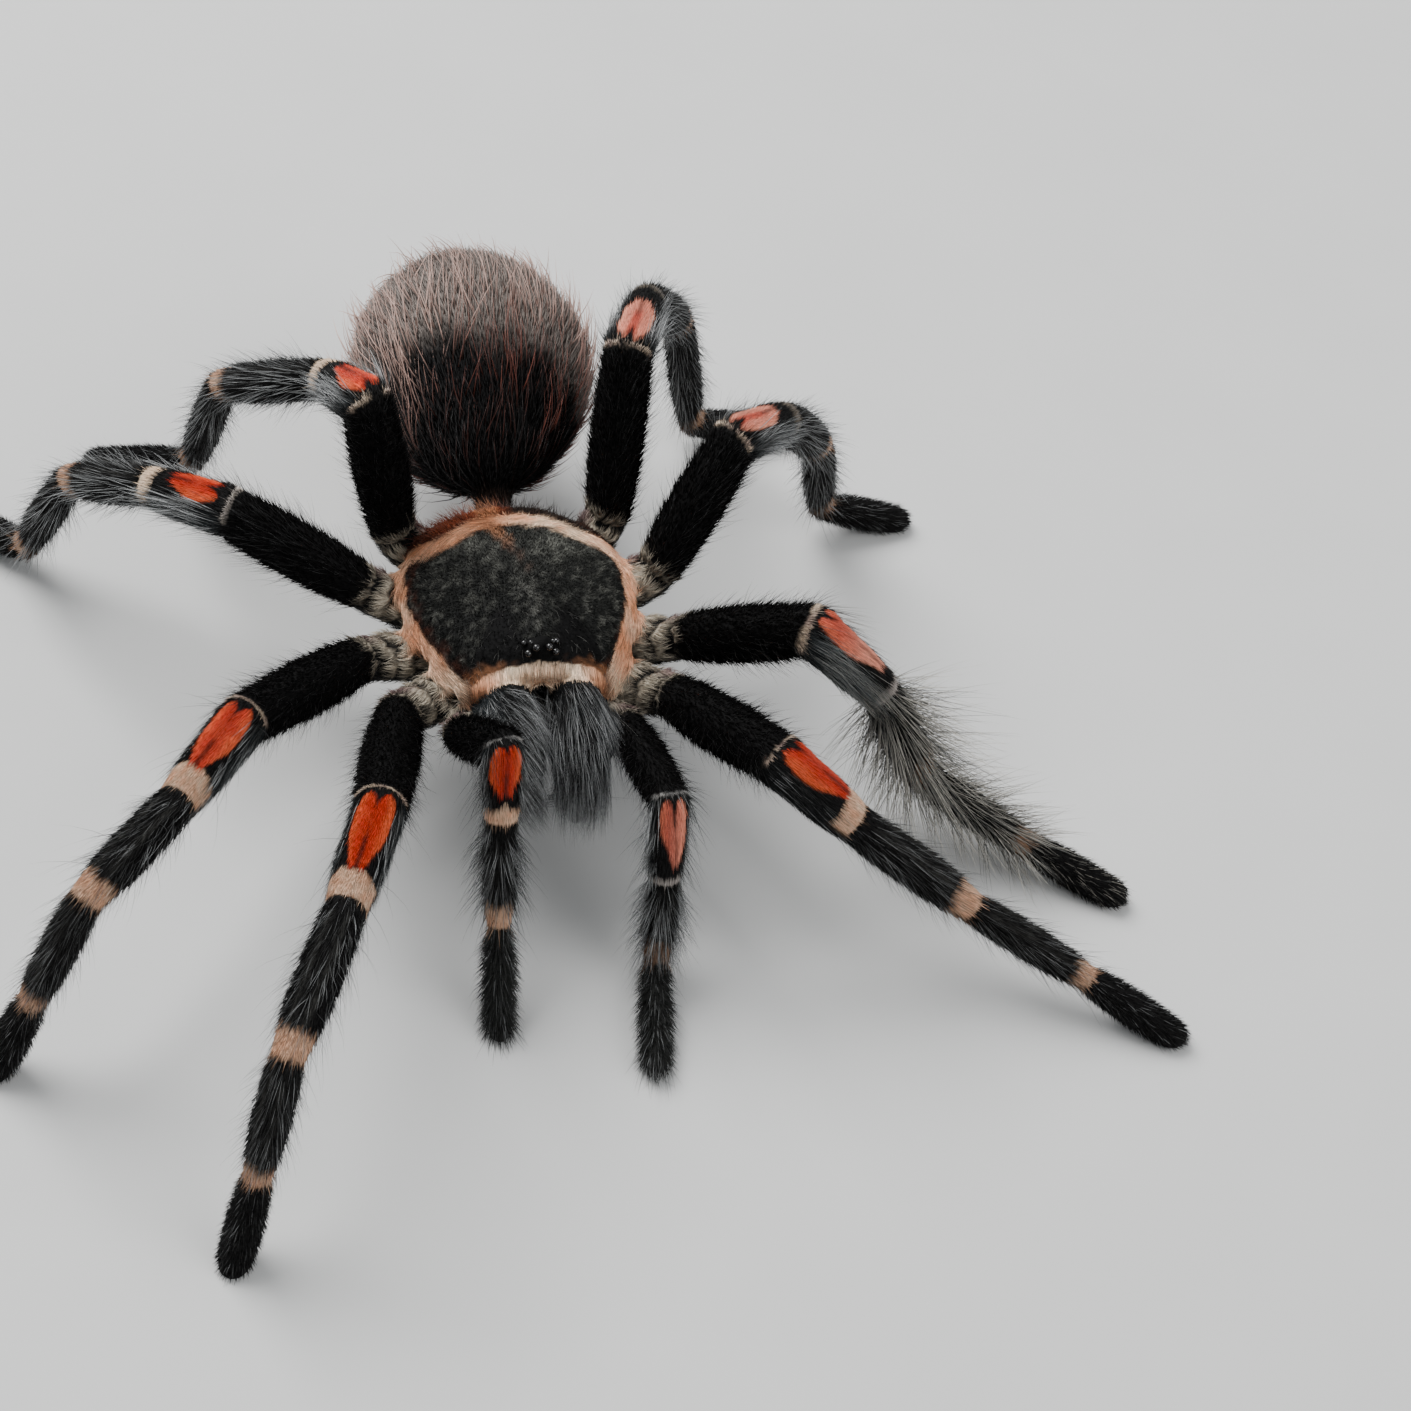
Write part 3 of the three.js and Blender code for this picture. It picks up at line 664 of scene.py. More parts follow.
for index, limb in enumerate(LIMBS):
    bones = limb["bones"]
    for b, bone in enumerate(bones):
        along = bone["along"]
        offset = P - bone["start"]
        t = np.clip(offset @ along / bone["length"], 0, 1)
        radial = offset - np.outer(t * bone["length"], along)
        gap = np.linalg.norm(radial, axis=1) - profile(bone["radii"], t) + COAT_DEPTH[bone["part"]]
        since = offset @ bone["start_plane"] / (along @ bone["start_plane"])
        until = (bone["end"] - P) @ bone["end_plane"] / (along @ bone["end_plane"])
        flow = np.tile(along, (N, 1))
        if b > 0:
            gap = gap + np.clip(-since, 0, 3)
        if b + 1 < len(bones):
            gap = gap + np.clip(-until, 0, 3)
            flow = turned(flow, until, bones[b + 1])
        if b > 0:
            flow = turned(flow, since, bones[b - 1])
        way = unit(offset - np.outer(offset @ along, along))
        claim(gap, bone["part"], limb_id=index, share=since / np.maximum(since + until, 0.5),
              from_start=since, to_end=until, back=way @ bone["above"], side=way @ bone["across"], lie=flow)
print({name: int((part == name).sum()) for name in np.unique(part)})

# %% [markdown]
# The marks differ from limb to limb, so two helpers look a point's limb up: one says whether a point
# is on any of the limbs named, the other gives each limb a number of its own. Both return one value
# for each point, which is what the rules below are written with.

# %% Look a point's limb up
share, from_start, to_end, back, side, limb_id = (
    fields[name] for name in ("share", "from_start", "to_end", "back", "side", "limb_id"))
lie = unit(fields["lie"])
is_femur, is_coxa, is_patella, is_tibia, is_metatarsus, is_tarsus = (
    part == name for name in ("femur", "coxa", "patella", "tibia", "metatarsus", "tarsus"))
is_abdomen, is_jaw = part == "abdomen", part == "jaw"


def limbs_named(*names):
    return np.isin(limb_id, [i for i, limb in enumerate(LIMBS) if limb["name"] in names])


def per_limb(values, otherwise):
    """One number for each point, by its limb's name, or else by the limb's number alone."""
    table = [values.get(limb["name"], values.get(limb["number"], otherwise)) for limb in LIMBS]
    return np.array([*table, otherwise], float)[limb_id]


on_palp = limbs_named("palp_left", "palp_right")
left_palp = limbs_named("palp_left")
rear_leg = limbs_named("3_left", "3_right", "4_left", "4_right")
dusty_knee = limbs_named("3_left", "4_left")
shaggy = limbs_named("2_left")
print("palps hold", int(on_palp.sum()), "points, rear legs", int(rear_leg.sum()))

# %% [markdown]
# ## The markings
#
# One rule colours both the skin and the coat, so that no bare patch ever shows the wrong colour. The
# rule is written with shares of each length and with the place round the limb: the red flame on each
# knee with its two lobes and dark notch, the cream ring at the knee's end, the peach rings further
# out, the pale rim of the carapace. It is stored on the skin's points, and each bristle takes the
# colour at its root. An image would do it too, but it would need painting by hand.


# %% Colours
def srgb(red, green, blue):
    c = np.array([red, green, blue]) / 255
    return np.where(c <= 0.04045, c / 12.92, ((c + 0.055) / 1.055) ** 2.4)


BLACK = srgb(15, 14, 14)
CHARCOAL = srgb(46, 47, 45)
ASH = srgb(104, 103, 98)
FLAME_EDGE = srgb(232, 98, 52)
FLAME = srgb(205, 48, 16)
SALMON = srgb(244, 164, 138)
EMBER = srgb(84, 20, 8)
CREAM = srgb(236, 214, 188)
PEACH = srgb(226, 176, 142)
TAN = srgb(208, 142, 100)
RUST = srgb(132, 66, 42)
BEIGE = srgb(202, 190, 170)
ROSE_GREY = srgb(150, 124, 120)
UMBER = srgb(54, 42, 36)
SLATE = srgb(92, 102, 106)
SILVER = srgb(168, 170, 170)
CHESTNUT = srgb(122, 66, 54)
BACKLIT_ROSE = srgb(178, 148, 136)
BACKLIT_HAZE = srgb(126, 117, 111)
STONE = srgb(94, 94, 88)
PALE_SILVER = srgb(196, 190, 178)
print("flame red in linear light:", FLAME.round(3))


# %% Noise, and one colour laid over another
def rough(scale, seed):
    """Smooth noise between about -1 and 1 whose features are 1/scale millimetres wide."""
    where = P * scale + seed * 17.3
    return np.array([noise.noise(Vector(p)) for p in where]) * 1.8


def lay(colour, over, share):
    """Mixes a colour over another by a share for each point."""
    share = np.clip(np.asarray(share, float), 0, 1)[:, None]
    return over * (1 - share) + colour * share


COARSE, CLUMP, FINE = rough(0.35, 1), rough(0.9, 4), rough(1.6, 2)
STREAK, GRAIN = rough(3.2, 3), rough(2.3, 5)
angle = np.arctan2(side, back)  # 0 on the upper ridge of a limb
upper = np.abs(angle)
print("fine noise runs from", FINE.min().round(2), "to", FINE.max().round(2))

# %% [markdown]
# The flame is drawn as two lobes side by side. Each lobe starts round, is widest near the knee and
# narrows towards its end. A dark notch parts the lobes at the start, and a dark streak parts them at
# the end. The flame's length and width differ from limb to limb, and the left palp's turns to one side.

# %% Outline of the flame on each knee
FLAME_SPAN = 0.77  # the value of `onto` at the flame's end
flame_half = per_limb({"palp_right": 0.92, "palp_left": 0.75, "1_left": 0.92,
                       "3_left": 0.7, "4_left": 0.7}, 0.8)
flame_end = per_limb({"palp_right": 0.58, "1_left": 0.69, "3": 0.62, "4": 0.62}, 0.74)
flame_start = per_limb({"palp_right": 0.08, "3_right": 0.08, "4_right": 0.08}, 0.0)
notch_end = per_limb({"3": 0.36, "4": 0.36}, 0.24)
taper_start = per_limb({"3_left": 0.55, "4_left": 0.55}, 0.36)
onto = (share - flame_start) * FLAME_SPAN / (flame_end - flame_start)
across_flame = np.abs(angle - 0.3 * left_palp * smooth(share, 0.15, 0.6))
opening = np.clip((notch_end - onto) / (notch_end - 0.04), 0, 1)
lobe_half = 0.5 * flame_half * np.sqrt(1 - opening**2)
taper = (0.6 + 0.12 * left_palp) * flame_half * smooth(onto, taper_start, 0.8)
outer_edge = 0.5 * flame_half + lobe_half - taper
inner_edge = 0.5 * flame_half - lobe_half - 0.02 + 0.08 * left_palp * (1 - smooth(onto, 0.2, 0.5))
flame = before(across_flame - 0.02 * FINE, outer_edge, 0.04) * within(onto, 0.02, FLAME_SPAN, 0.015)
flame *= smooth(across_flame, inner_edge - 0.04, inner_edge + 0.04) * is_patella
print("flame covers", int((flame > 0.5).sum()), "points")

# %% [markdown]
# The flame is red in its middle and orange at its edge, with an ember-dark streak. On the left palp and
# on the second, third and fourth left legs it is paler, a dusty salmon. The two dustiest knees keep a
# red wedge at the start and get a pale rim.

# %% Colour of the flame
dusty = per_limb({"3_left": 0.85, "4_left": 0.85, "2_left": 0.25, "palp_left": 0.45,
                  "2_right": 0.08, "4_right": 0.05}, 0.0)
dusty += 0.75 * shaggy * smooth(share, 0.2, 0.6) + 0.3 * left_palp * smooth(side, -0.3, 0.5)
across_share = upper / flame_half
heart = lay(FLAME_EDGE, FLAME, smooth(across_share, 0.2, 0.85) + 0.25 * FINE)
brighter = 1 + 0.12 * limbs_named("2_right", "4_right") + 0.35 * dusty_knee * smooth(across_share, 0.55, 1.0)
heart = lay(SALMON, heart, dusty) * brighter[:, None]
wedge = (1 - smooth(upper, 0.08, 0.3)) * (1 - smooth(onto, 0.45, 0.62))
heart = lay(FLAME, heart, 0.7 * dusty_knee * wedge)
streak = (1 - smooth(across_flame, 0.04, 0.16)) * within(onto, 0.45, 0.8, 0.06)
ridge = (1 - smooth(upper, 0.0, 0.3)) * (1 - dusty)
heart = lay(EMBER, heart, 0.55 * streak + 0.25 * ridge)
print("dusty points:", int((dusty * is_patella > 0.2).sum()))

# %% [markdown]
# Rings and lines are set by the distance to the joint: a cream ring at the knee's end, peach rings on
# the shin and above the foot, a thin cream line on the femur's end. A ring is widest on the upper
# ridge and fades out below.

# %% Rings of the knees
mark = BLACK * (1 + 0.25 * FINE[:, None])
# the sides of each knee get a painted slate sheen, faint on the first left leg
mark = lay(SLATE * 0.3, mark, is_patella * smooth(upper, 0.9, 1.3) * per_limb({"1_left": 0.1}, 0.6))
mark = lay(heart, mark, flame)
near_edge = per_limb({"palp_right": 1.0, "1_left": 0.9}, 0.1)
far_edge = per_limb({"palp_right": 2.5, "palp_left": 0.9, "1_left": 3.4, "2_left": 1.2, "3": 1.6,
                     "4_left": 1.2, "4_right": 2.2}, 2.6)
rounded = ~limbs_named("palp_left", "palp_right", "2_left", "4_left", "4_right")
far_edge -= 0.3 * rounded * smooth(upper, 0.5, 1.3)
far_edge += 0.6 * limbs_named("palp_right") * np.exp(-((angle / 0.3) ** 2))
ring = within(to_end, near_edge, far_edge + 0.12 * FINE, 0.08) * is_patella
ring *= 1 - smooth(upper, 1.5, 1.85)
ring_colour = lay(CREAM, PEACH, 0.3 + 0.3 * FINE)
ring_colour = lay(CREAM * 1.1, ring_colour, 0.8 * rear_leg)
ring_colour = lay(SILVER * 0.9, ring_colour, 0.8 * limbs_named("palp_left", "2_left"))
ring_colour = lay(CHARCOAL, ring_colour, 0.85 * dusty_knee)
mark = lay(ring_colour, mark, ring)
print("knee rings cover", int((ring > 0.5).sum()), "points")

# %% Rings of the shins, lines of the femora
shin_end = per_limb({"palp": 2.3, "3": 2.0, "4": 2.0}, 2.7) + 0.25 * FINE - 0.4 * smooth(upper, 0.6, 1.8)
shin_ring = within(to_end, 0.1, shin_end, 0.1) * is_tibia
ankle_ring = within(to_end, 0.1, 1.8 + 0.25 * FINE, 0.12) * is_metatarsus
low_rings = (shin_ring + ankle_ring * 0.85) * (1 - 0.8 * smooth(upper, 1.6, 2.2))
low_rings *= per_limb({"palp_left": 0.45, "2_left": 0.6}, 1.0)
mark = lay(lay(CREAM, PEACH, 0.15 + 0.3 * FINE) * 0.95, mark, low_rings)
rings = np.maximum(ring, low_rings)
line_width = 0.55 - 0.1 * np.cos(2 * angle) + 0.4 * shaggy
line_round = 1.15 + 0.7 * shaggy
knee_line = within(to_end, -0.3, line_width, 0.05) * is_femur
knee_line *= 1 - smooth(upper, line_round, line_round + 0.3)
line_colour = lay(ROSE_GREY, CREAM * 0.8, 0.3 + 0.4 * FINE)
line_colour = lay(SILVER * 0.7, line_colour, 0.85 * on_palp + 0.6 * limbs_named("3_right"))
mark = lay(line_colour, mark, knee_line)
mark = lay(CHARCOAL, mark, is_tarsus * on_palp * 0.9)
stripes = np.exp(-(((upper - 0.42) / 0.13) ** 2)) * within(share, 0.08, 0.86, 0.06)
mark = lay(ASH, mark, 0.28 * stripes * (is_tibia | is_metatarsus) * (1 + 0.6 * FINE))
print("all rings cover", int((rings > 0.5).sum()), "points")

# %% [markdown]
# The hips are the busiest place: crescents of beige and rose-grey hair, with black gaps where the
# short lengths meet. They are four bands across the hip, bowed by the place round it.

# %% Crescents of the hips
bow = 0.5 * side + 0.4 * CLUMP
hip_line = to_end + bow
crescents = sum(within(hip_line, near, near + 0.8, 0.2) for near in (0.55, 2.15, 3.75, 5.4))
beige_or_rose = lay(ROSE_GREY * 1.1, BEIGE, within(hip_line, 0.3, 2.0, 0.4) * smooth(side, -0.2, 0.6))
hip_coat = lay(beige_or_rose, BLACK, crescents * (0.9 + 0.4 * STREAK + 0.2 * FINE))
mark = lay(hip_coat, mark, is_coxa * smooth(back, -0.6, 0.0))
femur_start = within(from_start + 0.3 * CLUMP, -1.0, 0.45, 0.12) * is_femur * smooth(back, -0.4, 0.2)
mark = lay(BEIGE * 0.8, mark, femur_start * 0.8)
print("crescents cover", int((crescents * is_coxa > 0.5).sum()), "points")

# %% [markdown]
# The carapace is charcoal velvet, mottled in small clumps. On each side of the eyes the velvet gives
# way to a bare black field.

# %% Velvet of the carapace
is_carapace = (part == "carapace") & (z > 14.2)
rear = smooth(y, 6.0, 9.5)
velvet = lay(STONE * 1.1, CHARCOAL * 0.6, 0.75 * smooth(0.3 * CLUMP + 0.5 * FINE + 1.1 * GRAIN, 0.0, 1.2))
flank = bump(from_middle, y, 3.4, 3.9, 2.6, 1.9) * smooth(FINE + GRAIN, -1.2, 0.6)
velvet = lay(STONE * 1.2, velvet, 0.75 * flank)
crest = bump(x, y, 0, -3.2, 0.9, 4.2) * smooth(GRAIN + FINE, -0.6, 0.8)
velvet = lay(ASH * 1.2, velvet, 0.5 * crest)
past_eyes = y + 9.0
bare_field = within(from_middle, 0.9 + 0.22 * past_eyes, 5.9 - 0.5 * past_eyes, 0.35)
bare_field *= 1 - smooth(y, -4.4, -2.6)
bare_field = np.maximum(bare_field, 0.85 * bump(x, y, 0, -8.6, 2.4, 0.8)) * is_carapace
velvet = lay(BLACK * 0.5, velvet, bare_field)
print("bare fields cover", int((bare_field > 0.5).sum()), "points")

# %% [markdown]
# The velvet lies inside a satin rim of peach and cream, which is narrower on the right shoulder and
# wider on the left. The rim is painted lighter on the left, and creamier at the left rear, as painted
# light. At the rear, rust-coloured tufts stand outside the rim on the right; on the left that zone is
# painted dark umber as shade.

# %% Rim of the carapace
in_front = 1 - behind
rim_width = 1.15 - 0.18 * smooth(-x, 4.0, 7.5) * in_front + 0.4 * smooth(x, 5.0, 8.0) * in_front
rim_width = rim_width + 0.35 * behind + 0.12 * FINE + 0.12 * CLUMP
rim = within(from_rim, rim_start, rim_start + rim_width, 0.1)
rim = np.where(rim_start > 0.1, rim, before(from_rim, rim_width, 0.1))
# cream by random tone and at the front, and creamier at the left rear as painted light
cream_and_painted_light = 0.25 + 0.5 * COARSE + 0.7 * behind * smooth(x, -1, 2) + 0.4 * smooth(-y, 6, 9)
rim_colour = lay(CREAM, PEACH, cream_and_painted_light)
rim_colour = lay(TAN, rim_colour, 0.25 + 0.5 * smooth(CLUMP - COARSE, 0.2, 1.2))
rim_colour = lay(TAN, rim_colour, 0.5 * behind * smooth(x, 1, -1))
inside_rim = 1 - smooth(from_rim + 0.3 * FINE, rim_start + 1.2, rim_start + 2.0)
carapace_mark = lay(RUST * 0.5, velvet, inside_rim * (0.35 + 0.35 * CLUMP))
outside_rim = (1 - smooth(from_rim, rim_start - 0.4, rim_start + 0.1)) * behind
# outside the rear rim: rust tufts on the right, dark umber painted shade on the left
tufts_and_painted_shade = lay(UMBER * 0.5, RUST * 0.7, smooth(x, -1, 1))
carapace_mark = lay(tufts_and_painted_shade, carapace_mark, outside_rim)
# the whole rim painted lighter towards the left: painted light
rim_painted_light = 1.06 + 0.26 * smooth(x, -2, 2)
carapace_mark = lay(rim_colour * rim_painted_light[:, None], carapace_mark, rim)
print("rim covers", int((rim * is_carapace > 0.5).sum()), "points")

# %% [markdown]
# From the rear rim a tan cleft runs in to the pit, a little aslant. In front a cream band arches over
# the jaws, tan at its corners, with a dark tan wedge behind each corner.

# %% Cleft and front band of the carapace
from_pit = y - PIT_Y
cleft_half = 0.1 + 0.14 * np.clip(from_pit - 1.5, 0, 5.0)
cleft_middle = np.clip(0.7 - 0.4 * from_pit, -1.5, 0.7)
from_cleft = np.abs(x - cleft_middle) + 0.1 * FINE
cleft = (1 - smooth(from_cleft, cleft_half - 0.1, cleft_half + 0.25)) * smooth(from_pit, -0.4, 0.6)
cleft_colour = lay(TAN * 0.6, UMBER * 3.2, smooth(from_pit, 2.0, 5.5))
carapace_mark = lay(cleft_colour, carapace_mark, cleft * (0.7 + 0.25 * STREAK))
band_edge = 0.72 + 0.05 * FINE - 0.25 * smooth(from_middle, 4.5, 6.0)
band = before(front_gap, band_edge, 0.06) * (1 - smooth(from_middle, 5.5, 6.0))
corner = smooth(from_middle, 2.2, 5.0)
dark_corner = (1 - smooth(front_gap + 0.3 * FINE, 0.8, 1.2 + 0.6 * corner)) * smooth(from_middle, 1.5, 4.5)
dark_corner = 0.8 * dark_corner * (1 - rim * smooth(from_middle, 6.0, 6.6))
carapace_mark = lay(TAN * 0.5, carapace_mark, dark_corner)
band_colour = lay(TAN * 1.05, lay(PEACH, CREAM, 0.15 + 0.3 * COARSE), 0.8 * corner)
carapace_mark = lay(band_colour * 1.25, carapace_mark, band)
mark = lay(UMBER, mark, part == "carapace")
mark = lay(carapace_mark, mark, is_carapace)
mark = lay(BLACK * 0.6, mark, part == "mound")
print("front band covers", int((band * is_carapace > 0.5).sum()), "points")

# %% [markdown]
# The abdomen is black in front under separate chestnut hairs, and turns to a rosy grey haze behind
# and along its sides, which is painted backlight on the hair. The jaws are black with a painted slate
# sheen on their outer sides.

# %% Marks of the abdomen, the jaws and the underside
# the rear and sides turn to a rosy grey haze: painted backlight on the hair over its own black
backlit_haze_place = y + 0.35 * np.clip(x - 4.0, 0, 8) - 0.3 * np.clip(-x - 2.0, 0, 8) + 1.2 * COARSE
mark = lay(lay(BACKLIT_HAZE * 1.15, BLACK * 0.8, smooth(backlit_haze_place, 20.0, 25.0)), mark, is_abdomen)
# a painted slate sheen on the outer sides of the jaws
jaw_painted_sheen = 0.04 + 0.6 * smooth(side, 1.1, 1.6) * within(share, 0.2, 0.8, 0.15) + 0.15 * FINE
mark = lay(lay(SLATE * 0.5, BLACK * 0.8, jaw_painted_sheen), mark, is_jaw)
mark = lay(UMBER * 0.8, mark, np.isin(part, ["trunk", "pedicel", "spinneret"]))
print("mean mark:", mark.mean(0).round(3))

# %% [markdown]
# Long loose hairs stand over the short coat and have colours of their own: dark grey with some silver
# on the legs, palest on the second left leg, chestnut on the abdomen with a painted rosy backlight
# behind and along its sides, black and pale grey mixed on the jaws.

# %% Colours of the long hairs
silvery = STREAK + per_limb({"2_left": 0.35, "palp_left": 0.3, "3": 0.4, "4": 0.4}, 0.0)
long_mark = lay(lay(PALE_SILVER, SILVER, shaggy), CHARCOAL * 0.6, smooth(silvery, -0.1, 1.0))
darker_knee = 0.2 + 0.5 * is_patella * (1 - smooth(share, 0.5, 0.9))
long_mark = lay(SLATE * 0.6, long_mark, shaggy * darker_knee)
long_mark = lay(BLACK, long_mark, is_femur * (0.9 + 0.2 * STREAK))
long_mark = lay(BEIGE, long_mark, is_coxa * smooth(STREAK, -0.5, 0.5))
# the rear and sides turn to a rosy hue: painted backlight on the chestnut hair
backlit_place = y + 0.9 * np.clip(-x - 1.0, 0, 9) + 0.3 * np.clip(x - 5.0, 0, 7) + COARSE
abdomen_backlit = smooth(backlit_place, 19.5, 25.5)
abdomen_long = lay(BACKLIT_ROSE, CHESTNUT, abdomen_backlit + 0.25 * STREAK)
black_share = 0.85 * (1 - smooth(y + 3.0 * COARSE, 13, 22)) + (0.25 + 0.5 * STREAK) * (1 - abdomen_backlit)
abdomen_long = lay(BLACK * 1.5, abdomen_long, black_share)
long_mark = lay(abdomen_long, long_mark, is_abdomen)
jaw_silver = smooth(STREAK + 0.5 * FINE, -0.1, 0.5) * (0.35 + 0.65 * smooth(share, 0.0, 0.4))
long_mark = lay(lay(SILVER * 0.95, BLACK * 1.5, jaw_silver), long_mark, is_jaw)
long_mark = lay(ASH * 0.65, long_mark, is_carapace)
long_mark = lay(RUST * 1.3, long_mark, is_carapace * rear)
mark, long_mark = np.clip(mark, 0.0012, 1), np.clip(long_mark, 0.002, 1)
print("mean colour of the long hair:", long_mark.mean(0).round(3))

# %% [markdown]
# The marks go onto the skin as attributes, where nodes can read them by name. The velvet's clumps and
# the gaps between the crescents are also raised or sunk a little in the skin itself, because light
# from the side shows a real hollow better than a dark colour.


# %% Store the marks and raise the relief
def put(mesh, name, values, kind="FLOAT"):
    """Stores one value, vector or colour for each point under a name that nodes can read."""
    values = np.asarray(values, np.float32)
    if kind == "FLOAT_COLOR":
        values = np.hstack([values, np.ones((len(values), 1), np.float32)])
    field = {"FLOAT": "value", "FLOAT_VECTOR": "vector", "FLOAT_COLOR": "color"}[kind]
    if name in mesh.attributes:
        mesh.attributes.remove(mesh.attributes[name])
    mesh.attributes.new(name, kind, "POINT").data.foreach_set(field, values.ravel())


normals = np.zeros(N * 3)
mesh.vertex_normals.foreach_get("vector", normals)
normals = normals.reshape(-1, 3)
hip_gaps = is_coxa * (1 - np.clip(crescents, 0, 1)) * smooth(back, -0.6, 0.0)
relief = 0.06 * CLUMP * is_carapace * (1 - rim) - 0.35 * hip_gaps
P = P + normals * relief[:, None]
mesh.vertices.foreach_set("co", (P * MM).astype(np.float32).ravel())
mesh.update()
put(mesh, "mark", mark, "FLOAT_COLOR")
put(mesh, "long_mark", long_mark, "FLOAT_COLOR")
put(mesh, "lie", lie, "FLOAT_VECTOR")
mesh.shade_smooth()
print("relief from", relief.min().round(2), "to", relief.max().round(2), "mm")

# %% [markdown]
# ## An unwrap of the skin
#
# Each bristle keeps a small patch of a flat map, at its root's place on an unwrap of the skin. The
# automatic unwrap cuts the skin where it bends sharply and lays the pieces side by side.

# %% Unwrap
bpy.context.view_layer.objects.active = skin
skin.select_set(True)
mesh.uv_layers.new(name="OFBake")
bpy.ops.object.mode_set(mode="EDIT")
bpy.ops.mesh.select_all(action="SELECT")
bpy.ops.uv.smart_project(angle_limit=math.radians(66), island_margin=0.001)
bpy.ops.object.mode_set(mode="OBJECT")
print("unwrapped", len(mesh.uv_layers["OFBake"].data), "corners")

# %% [markdown]
# ## Materials
#
# The skin's material takes the stored marks, darkens them, and breaks them up with fine grain in its
# bump. It only shows between the bristles, so it is rough and has almost no shine.


# %% Node helpers and the skin's material
def add(tree, kind, wires=None, **settings):
    """Adds a node. Wires are sockets or plain values by input name or number."""
    node = tree.nodes.new(kind)
    for key, value in settings.items():
        setattr(node, key, value)
    for key, value in (wires or {}).items():
        if isinstance(value, bpy.types.NodeSocket):
            tree.links.new(value, node.inputs[key])
        else:
            node.inputs[key].default_value = value
    return node


def material(name, roughness, specular):
    made = bpy.data.materials.new(name)
    made.use_nodes = True
    shader = made.node_tree.nodes["Principled BSDF"]
    shader.inputs["Roughness"].default_value = roughness
    shader.inputs["Specular IOR Level"].default_value = specular
    return made, made.node_tree, shader


def attribute(tree, name, output):
    return add(tree, "ShaderNodeAttribute", attribute_name=name).outputs[output]


def scaled(tree, colour, amount):
    return add(tree, "ShaderNodeVectorMath", {0: colour, "Scale": amount}, operation="SCALE").outputs[0]


def math_node(tree, operation, a, b=0.0, c=0.0):
    return add(tree, "ShaderNodeMath", {0: a, 1: b, 2: c}, operation=operation).outputs[0]


def grain_in(tree, scale, detail):
    """A place fixed to the object, so that nothing slides when it is turned, and fine noise there."""
    place = add(tree, "ShaderNodeTexCoord").outputs["Object"]
    wires = {"Vector": place, "Scale": scale, "Detail": detail}
    return place, add(tree, "ShaderNodeTexNoise", wires).outputs["Fac"]


def skin_material():
    made, tree, shader = material("skin", 0.75, 0.12)
    place, grain = grain_in(tree, 3500.0, 4.0)
    pits = add(tree, "ShaderNodeTexVoronoi", {"Vector": place, "Scale": 2600.0}).outputs["Distance"]
    shade = math_node(tree, "MULTIPLY_ADD", grain, 0.7, 0.25)
    tree.links.new(scaled(tree, attribute(tree, "mark", "Color"), shade), shader.inputs["Base Color"])
    relief = math_node(tree, "MULTIPLY_ADD", pits, 0.6, grain)
    bump_node = add(tree, "ShaderNodeBump", {"Height": relief, "Strength": 0.5, "Distance": 0.0002})
    tree.links.new(bump_node.outputs[0], shader.inputs["Normal"])
    return made


skin.data.materials.clear()
skin.data.materials.append(skin_material())
print("skin material:", skin.data.materials[0].name)

# %% [markdown]
# A bristle is darker at its root and lighter at its tip, partly its own colour and partly painted shade
# deep in the coat and painted backlight on the tips, and no two are quite alike, so its material
# mixes the mark with a share along the bristle and with a number drawn for each one. The kinds of
# hair differ in how far this painted shade and light runs from root to tip, in shine, and in how
# unlike they are.


# %% Materials of the hair
def hair_material(name, source, root, tip, roughness, specular, unlike=0.7):
    made, tree, shader = material(name, roughness, specular)
    # darker root and lighter tip: partly own tone, partly painted shade in the coat and painted backlight on
    # the tips
    ramp = math_node(tree, "MULTIPLY_ADD", attribute(tree, "along", "Fac"), tip - root, root)
    luck = math_node(tree, "MULTIPLY_ADD", attribute(tree, "draw", "Fac"), unlike, 1 - unlike / 2)
    shade = math_node(tree, "MULTIPLY", ramp, luck)
    tree.links.new(scaled(tree, attribute(tree, source, "Color"), shade), shader.inputs["Base Color"])
    return made


VELVET = hair_material("velvet", "mark", root=0.55, tip=1.3, roughness=0.7, specular=0.2)
SATIN = hair_material("satin", "mark", root=0.85, tip=1.3, roughness=0.5, specular=0.35, unlike=0.5)
COMB = hair_material("comb", "mark", root=0.7, tip=1.35, roughness=0.5, specular=0.35, unlike=1.1)
PILE = hair_material("pile", "mark", root=0.6, tip=1.5, roughness=0.8, specular=0.1, unlike=1.7)
JET = hair_material("jet", "mark", root=0.5, tip=1.05, roughness=0.8, specular=0.08)
LONG = hair_material("long_hair", "long_mark", root=0.5, tip=1.5, roughness=0.45, specular=0.4)
WISP = hair_material("wisp", "long_mark", root=0.4, tip=2.4, roughness=0.45, specular=0.4)
print("materials:", [m.name for m in bpy.data.materials])

# %% [markdown]
# ## The coat tree
#
# One Geometry Nodes tree grows every kind of bristle. It scatters roots over the skin by a stored
# density, sets a three-sided spike at each, and then moves the spike's points: along the lie of the
# hair, leaning off the skin, bending over and swerving a little. Particle hair would be quicker to
# comb, but it isn't mesh. Moving the points after the spikes are real keeps every bristle its own
# length and bend without stretching its thickness.

